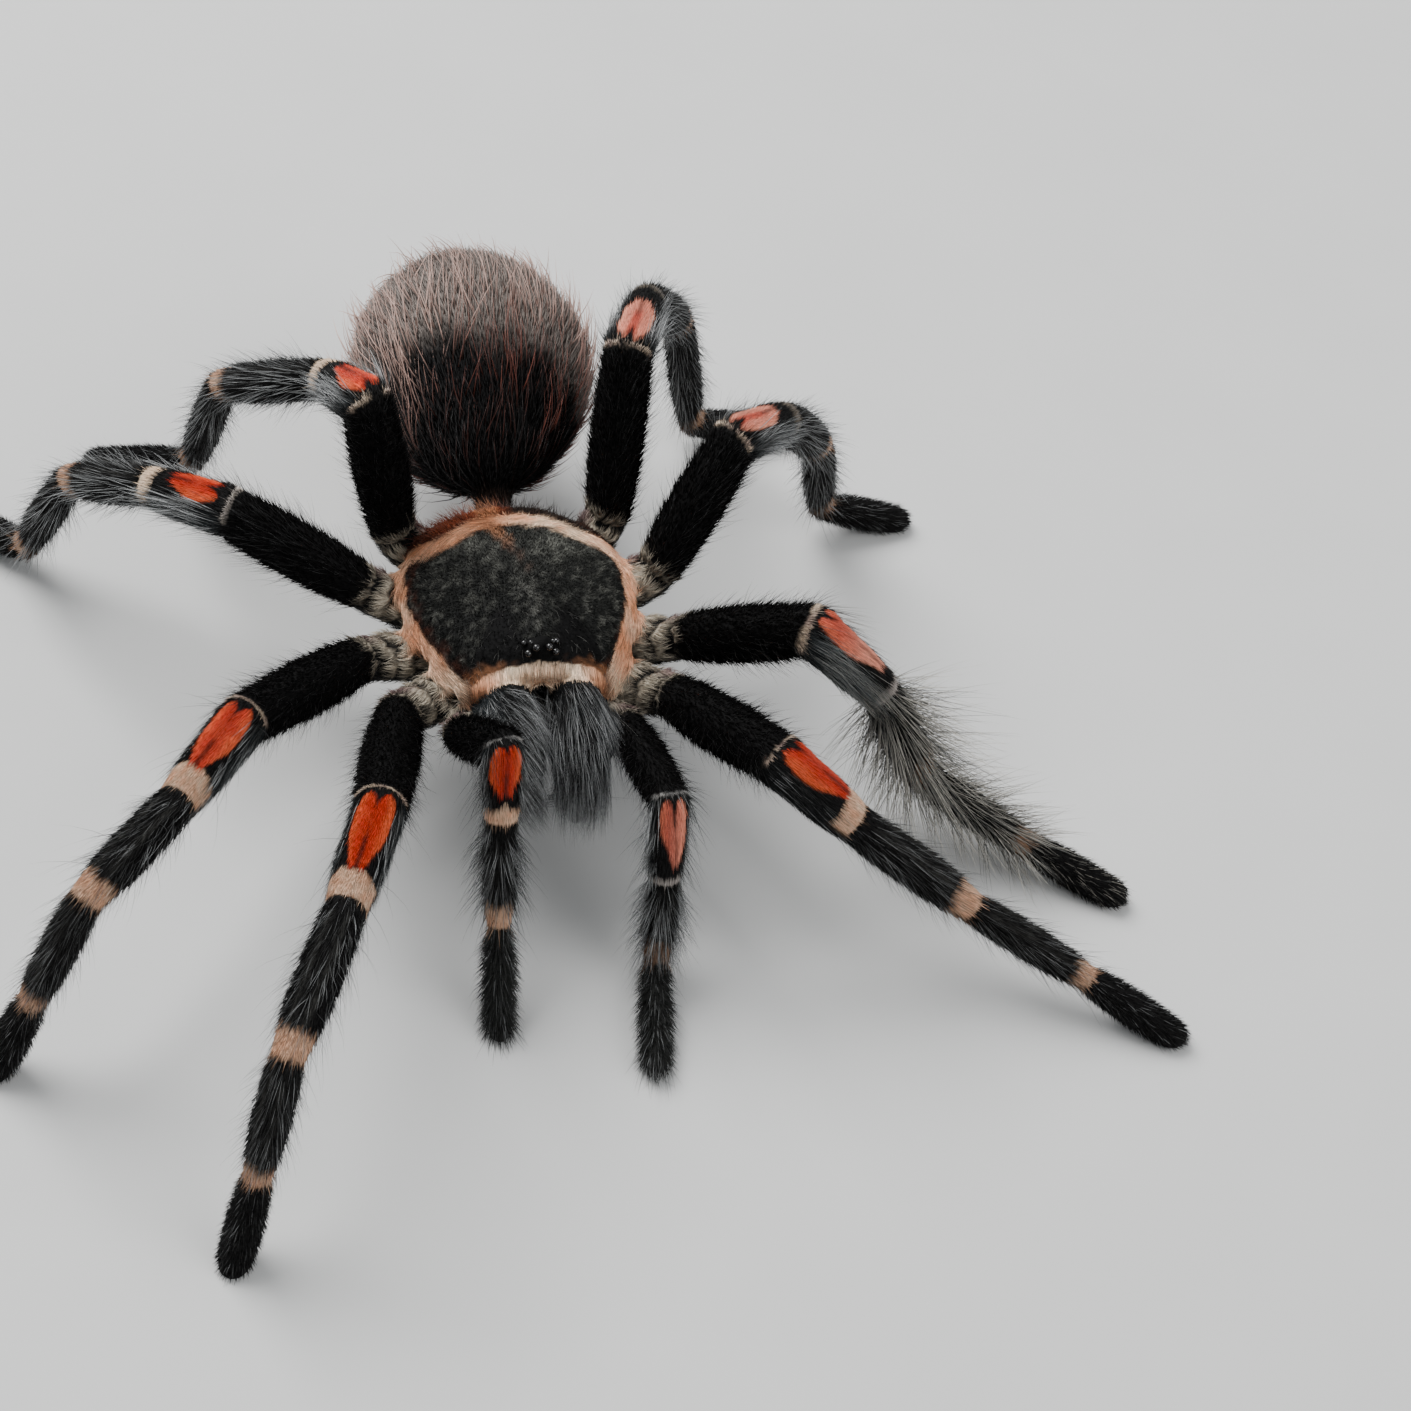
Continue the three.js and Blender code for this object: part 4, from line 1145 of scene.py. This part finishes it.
# %% The tree and its inputs
COAT = bpy.data.node_groups.new("coat", "GeometryNodeTree")
COAT.interface.new_socket("Geometry", in_out="OUTPUT", socket_type="NodeSocketGeometry")
FLOAT_INPUTS = ("Density", "Length", "Spread", "Radius", "Lean", "Bend", "Stray", "Lock", "Lock Size")
kinds = {"Geometry": "Geometry", "Where": "String", **dict.fromkeys(FLOAT_INPUTS, "Float"),
         "Segments": "Int", "Seed": "Int", "Material": "Material"}
for label, kind in kinds.items():
    COAT.interface.new_socket(label, in_out="INPUT", socket_type="NodeSocket" + kind)
SOCKETS = {s.name: s.identifier for s in COAT.interface.items_tree if s.in_out == "INPUT"}
given = add(COAT, "NodeGroupInput").outputs
print("inputs of the coat tree:", list(SOCKETS))


# %% Short ways to write the tree's nodes
def named(name, kind="FLOAT"):
    return add(COAT, "GeometryNodeInputNamedAttribute", {"Name": name}, data_type=kind).outputs["Attribute"]


def calc(operation, *values):
    return math_node(COAT, operation, *values)


def vec(operation, a, b=(0.0, 0.0, 0.0)):
    node = add(COAT, "ShaderNodeVectorMath", {0: a, 1: b}, operation=operation)
    return node.outputs["Value" if operation == "DOT_PRODUCT" else "Vector"]


def times(vector, amount):
    return scaled(COAT, vector, amount)


def keep(geometry, name, value, kind="FLOAT", domain="POINT"):
    wires = {"Geometry": geometry, "Name": name, "Value": value}
    return add(COAT, "GeometryNodeStoreNamedAttribute", wires, data_type=kind, domain=domain).outputs[0]


def drop(geometry, name):
    return add(COAT, "GeometryNodeRemoveAttribute", {"Geometry": geometry, "Name": name}).outputs[0]


def draw_node(step, kind):
    """A random value node. Each step draws numbers of its own from the piece's one seed."""
    seed = calc("ADD", given["Seed"], float(step))
    return add(COAT, "FunctionNodeRandomValue", {"Seed": seed}, data_type=kind)


def chance(low, high, step):
    node = draw_node(step, "FLOAT")
    node.inputs[2].default_value, node.inputs[3].default_value = low, high
    return node.outputs[1]


def chance_vector(step):
    node = draw_node(step, "FLOAT_VECTOR")
    node.inputs[0].default_value, node.inputs[1].default_value = (-1, -1, -1), (1, 1, 1)
    return node.outputs[0]


print("the tree has", len(COAT.nodes), "node so far")

# %% [markdown]
# First the roots. Each root finds its own way to grow: the stored lie, flattened onto the skin,
# swerved by a random stray and by a slow noise that gathers neighbours into locks, and then lifted
# off the skin by the lean.

# %% Scatter the roots and find each one's way
density = calc("MULTIPLY", named(given["Where"]), given["Density"])
scatter = add(COAT, "GeometryNodeDistributePointsOnFaces",
              {"Mesh": given["Geometry"], "Density": density, "Seed": given["Seed"]},
              distribute_method="RANDOM")
normal = scatter.outputs["Normal"]
lie_here = named("lie", "FLOAT_VECTOR")
flat = vec("NORMALIZE", vec("SUBTRACT", lie_here, times(normal, vec("DOT_PRODUCT", lie_here, normal))))
place = add(COAT, "GeometryNodeInputPosition").outputs[0]
cell = times(place, calc("DIVIDE", 1.0, given["Lock Size"]))
waves = add(COAT, "ShaderNodeTexNoise", {"Vector": cell, "Scale": 1.0, "Detail": 1.0}).outputs["Color"]
lock = times(vec("SUBTRACT", waves, (0.5, 0.5, 0.5)), calc("MULTIPLY", given["Lock"], 4.0))
stray = times(chance_vector(1), given["Stray"])
swerved = vec("NORMALIZE", vec("ADD", vec("ADD", flat, stray), lock))
lean = calc("MULTIPLY", given["Lean"], chance(0.6, 1.4, 2))
lifted = vec("ADD", times(swerved, calc("COSINE", lean)), times(normal, calc("SINE", lean)))
print("the tree has", len(COAT.nodes), "nodes so far")

# %% [markdown]
# Each root keeps what its bristle needs: place, way, size, the direction it curls over in, a number
# drawn for its colour, and its patch of the unwrap. Then a spike is set at each root and made real.

# %% Keep the roots' values and set the spikes
own_length = calc("MULTIPLY", given["Length"], named("reach"))
luck_of_length = calc("ADD", 1.0, calc("MULTIPLY", given["Spread"], chance(-1.0, 1.0, 3)))
curl = vec("SUBTRACT", vec("ADD", times(flat, 0.6), times(chance_vector(4), 0.25)), normal)
points = scatter.outputs["Points"]
for name, value in {"root": place, "way": vec("NORMALIZE", lifted), "up": normal, "curl": curl,
                    "patch": named("OFBake", "FLOAT_VECTOR")}.items():
    points = keep(points, name, value, "FLOAT_VECTOR")
points = keep(points, "size", calc("MULTIPLY", own_length, luck_of_length))
points = keep(points, "draw", chance(0.0, 1.0, 5))
points = drop(points, "OFBake")
spike = add(COAT, "GeometryNodeMeshCone",
            {"Vertices": 3, "Side Segments": given["Segments"], "Radius Top": 0.0, "Radius Bottom": 1.0,
             "Depth": 1.0}, fill_type="NGON").outputs["Mesh"]
spike = keep(spike, "own", add(COAT, "GeometryNodeInputPosition").outputs[0], "FLOAT_VECTOR")
real = add(COAT, "GeometryNodeInstanceOnPoints", {"Points": points, "Instance": spike}).outputs[0]
real = add(COAT, "GeometryNodeRealizeInstances", {"Geometry": real}).outputs[0]
print("the tree has", len(COAT.nodes), "nodes so far")

# %% [markdown]
# Now each point of a spike finds its real place. Its height on the spike takes it along the way, the
# square of that height bends it over, and its place in the cross section takes it to the sides by the
# radius. No point may sink through the floor.

# %% Move the spikes' points
LEAST_HEIGHT = 0.00003
own = add(COAT, "ShaderNodeSeparateXYZ", {0: named("own", "FLOAT_VECTOR")}).outputs
way, size = named("way", "FLOAT_VECTOR"), named("size")
flank = vec("NORMALIZE", vec("CROSS_PRODUCT", way, named("up", "FLOAT_VECTOR")))
over = vec("CROSS_PRODUCT", flank, way)
squared = calc("MULTIPLY", calc("MULTIPLY", own["Z"], own["Z"]), size)
ahead = times(way, calc("MULTIPLY", own["Z"], size))
droop = times(named("curl", "FLOAT_VECTOR"), calc("MULTIPLY", squared, given["Bend"]))
wide = times(flank, calc("MULTIPLY", own["X"], given["Radius"]))
tall = times(over, calc("MULTIPLY", own["Y"], given["Radius"]))
spine = vec("ADD", named("root", "FLOAT_VECTOR"), ahead)
spot = vec("ADD", spine, vec("ADD", droop, vec("ADD", wide, tall)))
spot = vec("MAXIMUM", spot, (-1.0, -1.0, LEAST_HEIGHT))
moved = add(COAT, "GeometryNodeSetPosition", {"Geometry": real, "Position": spot}).outputs[0]
moved = keep(moved, "along", own["Z"])
print("the tree has", len(COAT.nodes), "nodes so far")

# %% [markdown]
# Every bristle gets its own small patch of the flat map, spread a little so that its faces have an
# area there. Most of the helper attributes are dropped, and the tree ends with the material.

# %% Map the bristles and end the tree
PATCH_WIDTH, PATCH_HEIGHT, PATCH_SKEW = 0.0013, 0.003, 0.6  # shares of the flat map's side
patch_x = calc("ADD", own["X"], calc("MULTIPLY", own["Y"], PATCH_SKEW))
patch_x = calc("MULTIPLY", patch_x, PATCH_WIDTH)
patch_y = calc("MULTIPLY", own["Z"], PATCH_HEIGHT)
patch = add(COAT, "ShaderNodeCombineXYZ", {"X": patch_x, "Y": patch_y}).outputs[0]
moved = keep(moved, "OFBake", vec("ADD", named("patch", "FLOAT_VECTOR"), patch), "FLOAT2", "CORNER")
for name in ("own", "way", "up", "curl", "size", "patch", "lie", "reach"):
    moved = drop(moved, name)
moved = add(COAT, "GeometryNodeSetShadeSmooth", {"Geometry": moved}).outputs[0]
moved = add(COAT, "GeometryNodeSetMaterial", {"Geometry": moved, "Material": given["Material"]}).outputs[0]
add(COAT, "NodeGroupOutput", {"Geometry": moved})
print("coat tree:", len(COAT.nodes), "nodes")

# %% [markdown]
# A coat piece names where it grows, how long the hair is there, and the settings of its bristles.
# Densities are bristles in a square millimetre, lengths and radii are in millimetres and the lean is
# in degrees. The modifier's result is turned into a plain mesh at once, so that nothing is left to
# evaluate later. Of the two stored colours a piece keeps only the one that its material reads,
# because Blender hands on two in a different order from run to run.

# %% Grow one coat piece
coat_pieces = []


def triangles_of(mesh):
    return sum(len(face.vertices) - 2 for face in mesh.polygons)


def forget(mesh, *names):
    """Removes stored values that nothing reads any more."""
    for name in names:
        if name in mesh.attributes:
            mesh.attributes.remove(mesh.attributes[name])


def grow(name, where, reach, slot, finish, seed, density, length, radius, lean, bend=0.0, stray=0.12,
         spread=0.3, lock=0.0, lock_size=1.5, segments=1):
    put(skin.data, "where", where)
    put(skin.data, "reach", np.broadcast_to(reach, (N,)))
    piece = link(bpy.data.objects.new(name, skin.data))
    modifier = piece.modifiers.new("coat", "NODES")
    modifier.node_group = COAT
    sizes = {"Density": density / MM**2, "Where": "where", "Length": length * MM, "Spread": spread,
             "Radius": radius * MM, "Lean": math.radians(lean), "Bend": bend, "Stray": stray, "Lock": lock,
             "Lock Size": lock_size * MM, "Segments": segments, "Seed": seed, "Material": finish}
    for label, value in sizes.items():
        modifier[SOCKETS[label]] = value
    piece.data.update()
    grown = evaluated(piece)
    piece.modifiers.clear()
    piece.data = grown
    grown.name = name
    forget(grown, "root", "where", "mark" if finish in (LONG, WISP) else "long_mark")
    coat_pieces.append((piece, slot))
    print(f"{name}: {triangles_of(grown)} triangles, uv maps {[layer.name for layer in grown.uv_layers]}")


def on(*names):
    return np.isin(part, names).astype(float)


# %% [markdown]
# ## The short coat
#
# The short coat is what the solids' outline stands for, so its tips reach about as far as the solids
# do. The femora are jet black and matt. The knees' flames and lines are finer, flatter and more
# even, like satin, so that their edges stay crisp.

# %% Short coat of the femora and the knees
femur_reach = np.where(to_end < 1.2, 0.35, 1.0)
ring_roots = rings * (to_end > np.where(is_patella, near_edge + 0.4, 0.5))
grow("coat_femora", on("femur") * (1 - knee_line), femur_reach, "black_coat", JET,
     seed=11, density=17, length=1.05, radius=0.05, lean=24, stray=0.3)
grow("knee_lines", knee_line, 1.0, "knee_coat", SATIN,
     seed=10, density=140, length=0.42, radius=0.033, lean=35, stray=0.2, spread=0.15)
grow("coat_rings", ring_roots, 1.0, "knee_coat", SATIN,
     seed=29, density=60, length=0.68, radius=0.036, lean=12, stray=0.08, spread=0.15)
grow("knee_flames", flame, 1.0, "knee_coat", SATIN,
     seed=27, density=60, length=0.75, radius=0.033, lean=10, stray=0.05, spread=0.2)
grow("coat_knees", on("patella") * (1 - flame) * (1 - ring), 1.0, "knee_coat", VELVET,
     seed=12, density=24, length=0.8, radius=0.042, lean=16)

# %% Short coat of the shins and the feet
above_floor = smooth(P[:, 2], 0.1, 0.8)
grow("coat_shins", on("tibia", "metatarsus") * (1 - low_rings), 1.0, "black_coat", VELVET,
     seed=13, density=17, length=0.95, radius=0.045, lean=20, stray=0.18)
grow("coat_feet", on("tarsus") * above_floor, np.where(on_palp, 2.0, 1.0), "black_coat", VELVET,
     seed=14, density=28, length=0.65, radius=0.042, lean=36, stray=0.25)

# %% [markdown]
# The hips carry soft curved locks, thick on the crescents and thin in the gaps. A lock is made by
# adding a slow noise to the lie, so that neighbouring hairs turn the same way.

# %% Short coat of the hips and the body
hip_cover = on("coxa") * (0.15 + 0.85 * np.clip(crescents, 0, 1)) + 0.8 * femur_start
jaw_reach = 0.8 + 0.5 * smooth(side, 0.8, 0.1) * on("jaw")
grow("coat_hips", hip_cover, 1.0, "tan_coat", SATIN,
     seed=15, density=34, length=1.0, radius=0.038, lean=34, bend=0.5, stray=0.2, lock=0.7, lock_size=1.2,
     segments=2)
grow("coat_jaws", on("jaw"), jaw_reach, "grey_coat", VELVET,
     seed=17, density=24, length=0.9, radius=0.042, lean=18, stray=0.15)
grow("coat_under", on("trunk", "pedicel", "spinneret"), 1.0, "grey_coat", VELVET,
     seed=18, density=12, length=0.9, radius=0.05, lean=24, stray=0.2)
grow("coat_abdomen", on("abdomen"), 1.0, "abdomen_coat", VELVET,
     seed=19, density=15, length=1.3, radius=0.05, lean=20, stray=0.2)

# %% [markdown]
# The carapace has three coats: a very short, tousled velvet inside, satin hair that runs along the
# rim, and a comb of even hairs that hangs over the front edge. Rust-coloured tufts stand at the rear.

# %% Coat of the carapace
velvet_place = on("carapace") * (1 - rim * is_carapace) * (1 - band * is_carapace) * (1 - 0.8 * bare_field)
tuft_place = is_carapace * behind * (1 - smooth(from_rim, rim_start - 0.9, rim_start - 0.2))
tuft_place = tuft_place * smooth(CLUMP, -0.7, 0.2) * (1 - 0.6 * smooth(x, 0, 2))
grow("coat_carapace", velvet_place, 1.0, "grey_coat", PILE,
     seed=16, density=55, length=0.36, radius=0.036, lean=46, stray=0.9, lock=0.5, lock_size=0.6)
grow("rim_satin", rim * is_carapace * (1 - band), 1.0, "tan_coat", COMB,
     seed=25, density=90, length=1.1, radius=0.028, lean=6, bend=0.03, stray=0.07, lock=0.1, lock_size=1.0,
     segments=2)
grow("rear_tufts", tuft_place, 1.0, "tan_coat", SATIN,
     seed=28, density=22, length=1.9, radius=0.04, lean=30, bend=0.1, stray=0.3, lock=0.5, lock_size=1.4,
     segments=2)
grow("front_band", band * is_carapace, 1.0, "tan_coat", COMB,
     seed=26, density=120, length=1.15, radius=0.027, lean=9, bend=0.12, stray=0.08, spread=0.12, segments=2)

# %% [markdown]
# ## The long hair
#
# Long, thin, loose hairs give the legs their grey bloom against the light. They lie along the sides
# of the knees, stand off the shins, and are longest in the fan of the second left shin. A few long
# whiskers stand on the first two right legs. The hairs go past the solids' outline, as soft hair may.

# %% Long hair of the femora and the knees
off_ring = 1 - 0.8 * rings
knee_side = on("patella") * within(upper, 0.8, 2.3, 0.15) * (1 - flame) * (1 - ring)
knee_side = knee_side * per_limb({"1_left": 0.3}, 1.0)
grow("hair_femora", on("femur") * (0.4 + 0.6 * smooth(share, 0.3, 0.8)), 1.0, "black_coat", LONG,
     seed=31, density=5, length=2.5, radius=0.022, lean=40, bend=0.15, stray=0.3, spread=0.45, segments=2)
knee_reach = per_limb({"2_left": 1.5, "3": 1.25, "4": 1.25}, 1.0)
grow("hair_knees", knee_side * per_limb({"2_left": 1.6}, 1.0), knee_reach, "black_coat", WISP,
     seed=32, density=8, length=2.6, radius=0.026, lean=12, bend=0.08, stray=0.1, spread=0.4, segments=3)

# %% Long hair of the front legs and the fan
other_front = on("tibia", "metatarsus") * off_ring * ~rear_leg * ~on_palp * ~shaggy
whiskered = on("patella", "tibia") * limbs_named("1_right", "2_right") * off_ring * (1 - flame)
grow("hair_front_legs", other_front, 1.0, "black_coat", LONG,
     seed=21, density=5.0, length=2.5, radius=0.02, lean=32, bend=0.15, stray=0.25, spread=0.45, segments=3)
grow("hair_whiskers", whiskered, 1.0, "black_coat", WISP,
     seed=39, density=0.35, length=4.4, radius=0.02, lean=48, bend=0.2, stray=0.3, spread=0.4, segments=3)
grow("hair_fan", on("tibia", "metatarsus") * shaggy, np.where(is_tibia, 1.0, 0.6), "black_coat", WISP,
     seed=33, density=9, length=7.4, radius=0.034, lean=46, bend=0.08, stray=0.3, spread=0.5, segments=3)

# %% Long hair of the palps, the rear legs and the feet
palp_place = on_palp * (on("tibia") * off_ring + 0.7 * knee_side + 0.5 * on("tarsus"))
skirt_end = per_limb({"palp_left": 1.2}, 0.4)
skirt = on_palp * is_tibia * (1 - smooth(share, 0.15, skirt_end)) * within(upper, 0.9, 2.2, 0.2)
rear_place = (on("tibia", "metatarsus") * off_ring + 0.5 * knee_side) * rear_leg
grow("hair_palps", palp_place, np.where(is_tarsus, 0.7, 1.0), "black_coat", LONG,
     seed=34, density=9, length=3.1, radius=0.026, lean=36, bend=0.12, stray=0.22, spread=0.5, segments=3)
grow("hair_skirts", skirt, 1.0, "black_coat", LONG,
     seed=37, density=14, length=3.4, radius=0.026, lean=42, bend=0.3, stray=0.15, segments=3)
grow("hair_rear_legs", rear_place, 1.0, "black_coat", LONG,
     seed=22, density=4.5, length=2.9, radius=0.028, lean=34, bend=0.12, stray=0.25, spread=0.45, segments=3)
grow("hair_feet", on("tarsus") * ~on_palp * above_floor, 1.0, "black_coat", LONG,
     seed=35, density=4, length=1.1, radius=0.026, lean=28, stray=0.25, segments=2)

# %% [markdown]
# The abdomen's hairs are the thickest of all, curved and set well apart. The jaws hang full of fine
# hair, longest on the inside, with a fringe at their tips.

# %% Long hair of the body
jaw_fringe = on("jaw") * smooth(share, 0.68, 0.8) * smooth(-normals[:, 1], -0.2, 0.3)
head_hair = is_carapace * (1 - smooth(y, -4.5, -2.5)) * (1 - band) * (1 - rim)
grow("hair_abdomen", on("abdomen"), 0.75 + 0.25 * abdomen_backlit, "abdomen_coat", LONG,
     seed=23, density=1.5, length=5.0, radius=0.085, lean=18, bend=0.32, stray=0.18, spread=0.35, lock=0.45,
     lock_size=2.4, segments=3)
grow("hair_jaws", on("jaw"), 1 + 0.5 * smooth(side, 0.3, -0.5), "grey_coat", WISP,
     seed=24, density=12, length=3.4, radius=0.019, lean=12, bend=0.1, stray=0.2, spread=0.4, segments=3)
grow("hair_jaw_tips", jaw_fringe, 1.0, "grey_coat", WISP,
     seed=38, density=24, length=4.2, radius=0.022, lean=10, bend=0.05, stray=0.1, segments=2)
grow("hair_head", head_hair, 1.0, "grey_coat", LONG,
     seed=36, density=1.5, length=1.0, radius=0.018, lean=40, bend=0.5, stray=0.9, spread=0.5, segments=3)
total = sum(triangles_of(piece.data) for piece, slot in coat_pieces)
print("coat:", total, "triangles in", len(coat_pieces), "pieces")

# %% [markdown]
# ## Eyes and fangs
#
# Eight eyes sit on a low mound, shining domes under a clear coat. The fangs are dark polished horn,
# folded back under the jaws. Both stay separate pieces in place of the solids' own.


# %% Glossy materials
def gloss_material(name, colour, roughness, coat):
    made, tree, shader = material(name, roughness, 0.6)
    _, grain = grain_in(tree, 1800.0, 3.0)
    tone = scaled(tree, colour, math_node(tree, "MULTIPLY_ADD", grain, 0.8, 0.6))
    tree.links.new(tone, shader.inputs["Base Color"])
    shader.inputs["Coat Weight"].default_value = coat
    shader.inputs["Coat Roughness"].default_value = 0.04
    return made


EYE_GLOSS = gloss_material("eye_gloss", (0.006, 0.005, 0.005), roughness=0.12, coat=0.35)
FANG_HORN = gloss_material("fang_horn", (0.02, 0.006, 0.004), roughness=0.22, coat=0.5)
print("glossy materials:", EYE_GLOSS.name, FANG_HORN.name)

# %% Eyes
EYES = {"front_middle": (30, 42, 0.31), "front_side": (52, 6, 0.31), "back_middle": (76, 48, 0.2),
        "back_side": (106, 14, 0.25)}  # bearing from straight ahead, rise on the mound, radius
SIDES = {"left": 1, "right": -1}
separate = []


def solid(name, form, finish, replaced, slot):
    """Makes one closed piece that takes the place of a solid."""
    verts, faces = form
    made = joined_mesh(name, [(verts * MM, faces)])
    made.shade_smooth()
    made.materials.append(finish)
    piece = link(bpy.data.objects.new(name, made))
    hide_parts(replaced)
    separate.append((piece, slot))


def eye_form(bearing, rise, radius, sign):
    a, e = math.radians(bearing), math.radians(rise)
    way = np.array([math.sin(a) * math.cos(e) * sign, -math.cos(a) * math.cos(e), math.sin(e)])
    semi = np.array(MOUND["semi"])
    proud = unit(way / semi) * radius * 0.3
    return ellipsoid(np.array(MOUND["at"]) + SHIFT + way * semi + proud, np.full(3, radius), 24, 14)


for name, (bearing, rise, radius) in EYES.items():
    for side_name, sign in SIDES.items():
        form = eye_form(bearing, rise, radius, sign)
        solid(f"eyeball_{name}_{side_name}", form, EYE_GLOSS, f"eye_{name}_{side_name}", "eye")
print("eyes:", len(separate))

# %% Fangs
for side_name, sign in SIDES.items():
    form = tube(FANG, sign, 0.0)
    solid(f"polished_fang_{side_name}", form, FANG_HORN, f"fang_{side_name}", "horn")
print("separate pieces:", len(separate))

# %% [markdown]
# ## What stands in for what
#
# The skin takes the place of every solid of flesh. All pieces ride on the one body. The helper
# attributes are dropped, so that only what the materials read is kept.

# %% Ride and replace
flesh = [n for n in frame["nodes"] if not n.startswith(("eye_", "fang_"))]
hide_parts(*flesh)
forget(skin.data, "where", "reach", "lie", "long_mark")
for piece, slot in [(skin, "grey_coat"), *coat_pieces, *separate]:
    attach(piece, "root")
print("the skin stands for", len(flesh), "solids")

# %% [markdown]
# ## The stage, the light and the camera
#
# A plain pale floor, one broad key light from behind and a soft fill from the front suit dark fur,
# because hair shows best with light that grazes it. The camera looks down steeply from the front.

# %% Stage
FLOOR_HALF = 1.2


def stage_floor():
    corners = [(sx * FLOOR_HALF, sy * FLOOR_HALF, 0) for sx, sy in ((-1, -1), (1, -1), (1, 1), (-1, 1))]
    floor_mesh = bpy.data.meshes.new("floor")
    floor_mesh.from_pydata(corners, [], [(0, 1, 2, 3)])
    made, tree, shader = material("floor", 0.85, 0.3)
    _, mottle = grain_in(tree, 60.0, 5.0)
    tone = scaled(tree, (0.62, 0.62, 0.61), math_node(tree, "MULTIPLY_ADD", mottle, 0.08, 0.96))
    tree.links.new(tone, shader.inputs["Base Color"])
    floor_mesh.materials.append(made)
    return link(bpy.data.objects.new("floor", floor_mesh))


stage_floor()
print("floor:", 2 * FLOOR_HALF, "m wide")


# %% Lights
def area_light(name, place, target, size, power):
    data = bpy.data.lights.new(name, "AREA")
    data.size, data.energy = size, power
    light = link(bpy.data.objects.new(name, data))
    light.location = place
    light.rotation_mode = "QUATERNION"
    light.rotation_quaternion = (Vector(target) - Vector(place)).to_track_quat("-Z", "Y")


area_light("key", place=(-0.25, 0.35, 0.6), target=(0, 0, 0.01), size=0.5, power=9)
area_light("fill", place=(0.45, -0.4, 0.45), target=(0, 0, 0.01), size=0.6, power=3)
world = bpy.data.worlds.new("studio")
world.use_nodes = True
world.node_tree.nodes["Background"].inputs["Color"].default_value = (0.8, 0.83, 0.86, 1)
world.node_tree.nodes["Background"].inputs["Strength"].default_value = 0.55
bpy.context.scene.world = world
print("lights:", [light.name for light in bpy.data.lights])

# %% [markdown]
# The camera aims at a point in the middle of the body and is then moved in its own plane by the
# distances in OFF_CENTRE, so that the body lies to the left of the view's middle and a little above
# it. A shift of the lens could do the same, but a moved camera has one setting less to explain. It is
# also rolled, as a camera held by hand is.

# %% Camera
TURN, LOOK_DOWN, ROLL = (math.radians(v) for v in (-20.2, 48.75, 11.5))
DISTANCE = 0.260
LENS, SENSOR = 79.935, 36  # millimetres
OFF_CENTRE = (-0.015436, 0.008141)  # metres that the body lies right of and above the view's middle
across, down = math.cos(LOOK_DOWN), math.sin(LOOK_DOWN)
backwards = Vector((math.sin(TURN) * across, -math.cos(TURN) * across, down))
right = (-backwards).cross(Vector((0, 0, 1))).normalized()
top = right.cross(-backwards)
tilted_right = math.cos(ROLL) * right + math.sin(ROLL) * top
tilted_up = math.cos(ROLL) * top - math.sin(ROLL) * right
aim = Vector((SHIFT[0] * MM, SHIFT[1] * MM, 0.015))
stand = aim + backwards * DISTANCE - tilted_right * OFF_CENTRE[0] - tilted_up * OFF_CENTRE[1]
camera = link(bpy.data.objects.new("camera", bpy.data.cameras.new("camera")))
camera.data.sensor_width = SENSOR
camera.data.lens = LENS
camera.data.clip_start = 0.01
turned_to = Matrix((tilted_right, tilted_up, backwards)).transposed().to_4x4()
camera.matrix_world = Matrix.Translation(stand) @ turned_to
bpy.context.scene.camera = camera
print("camera at", stand)
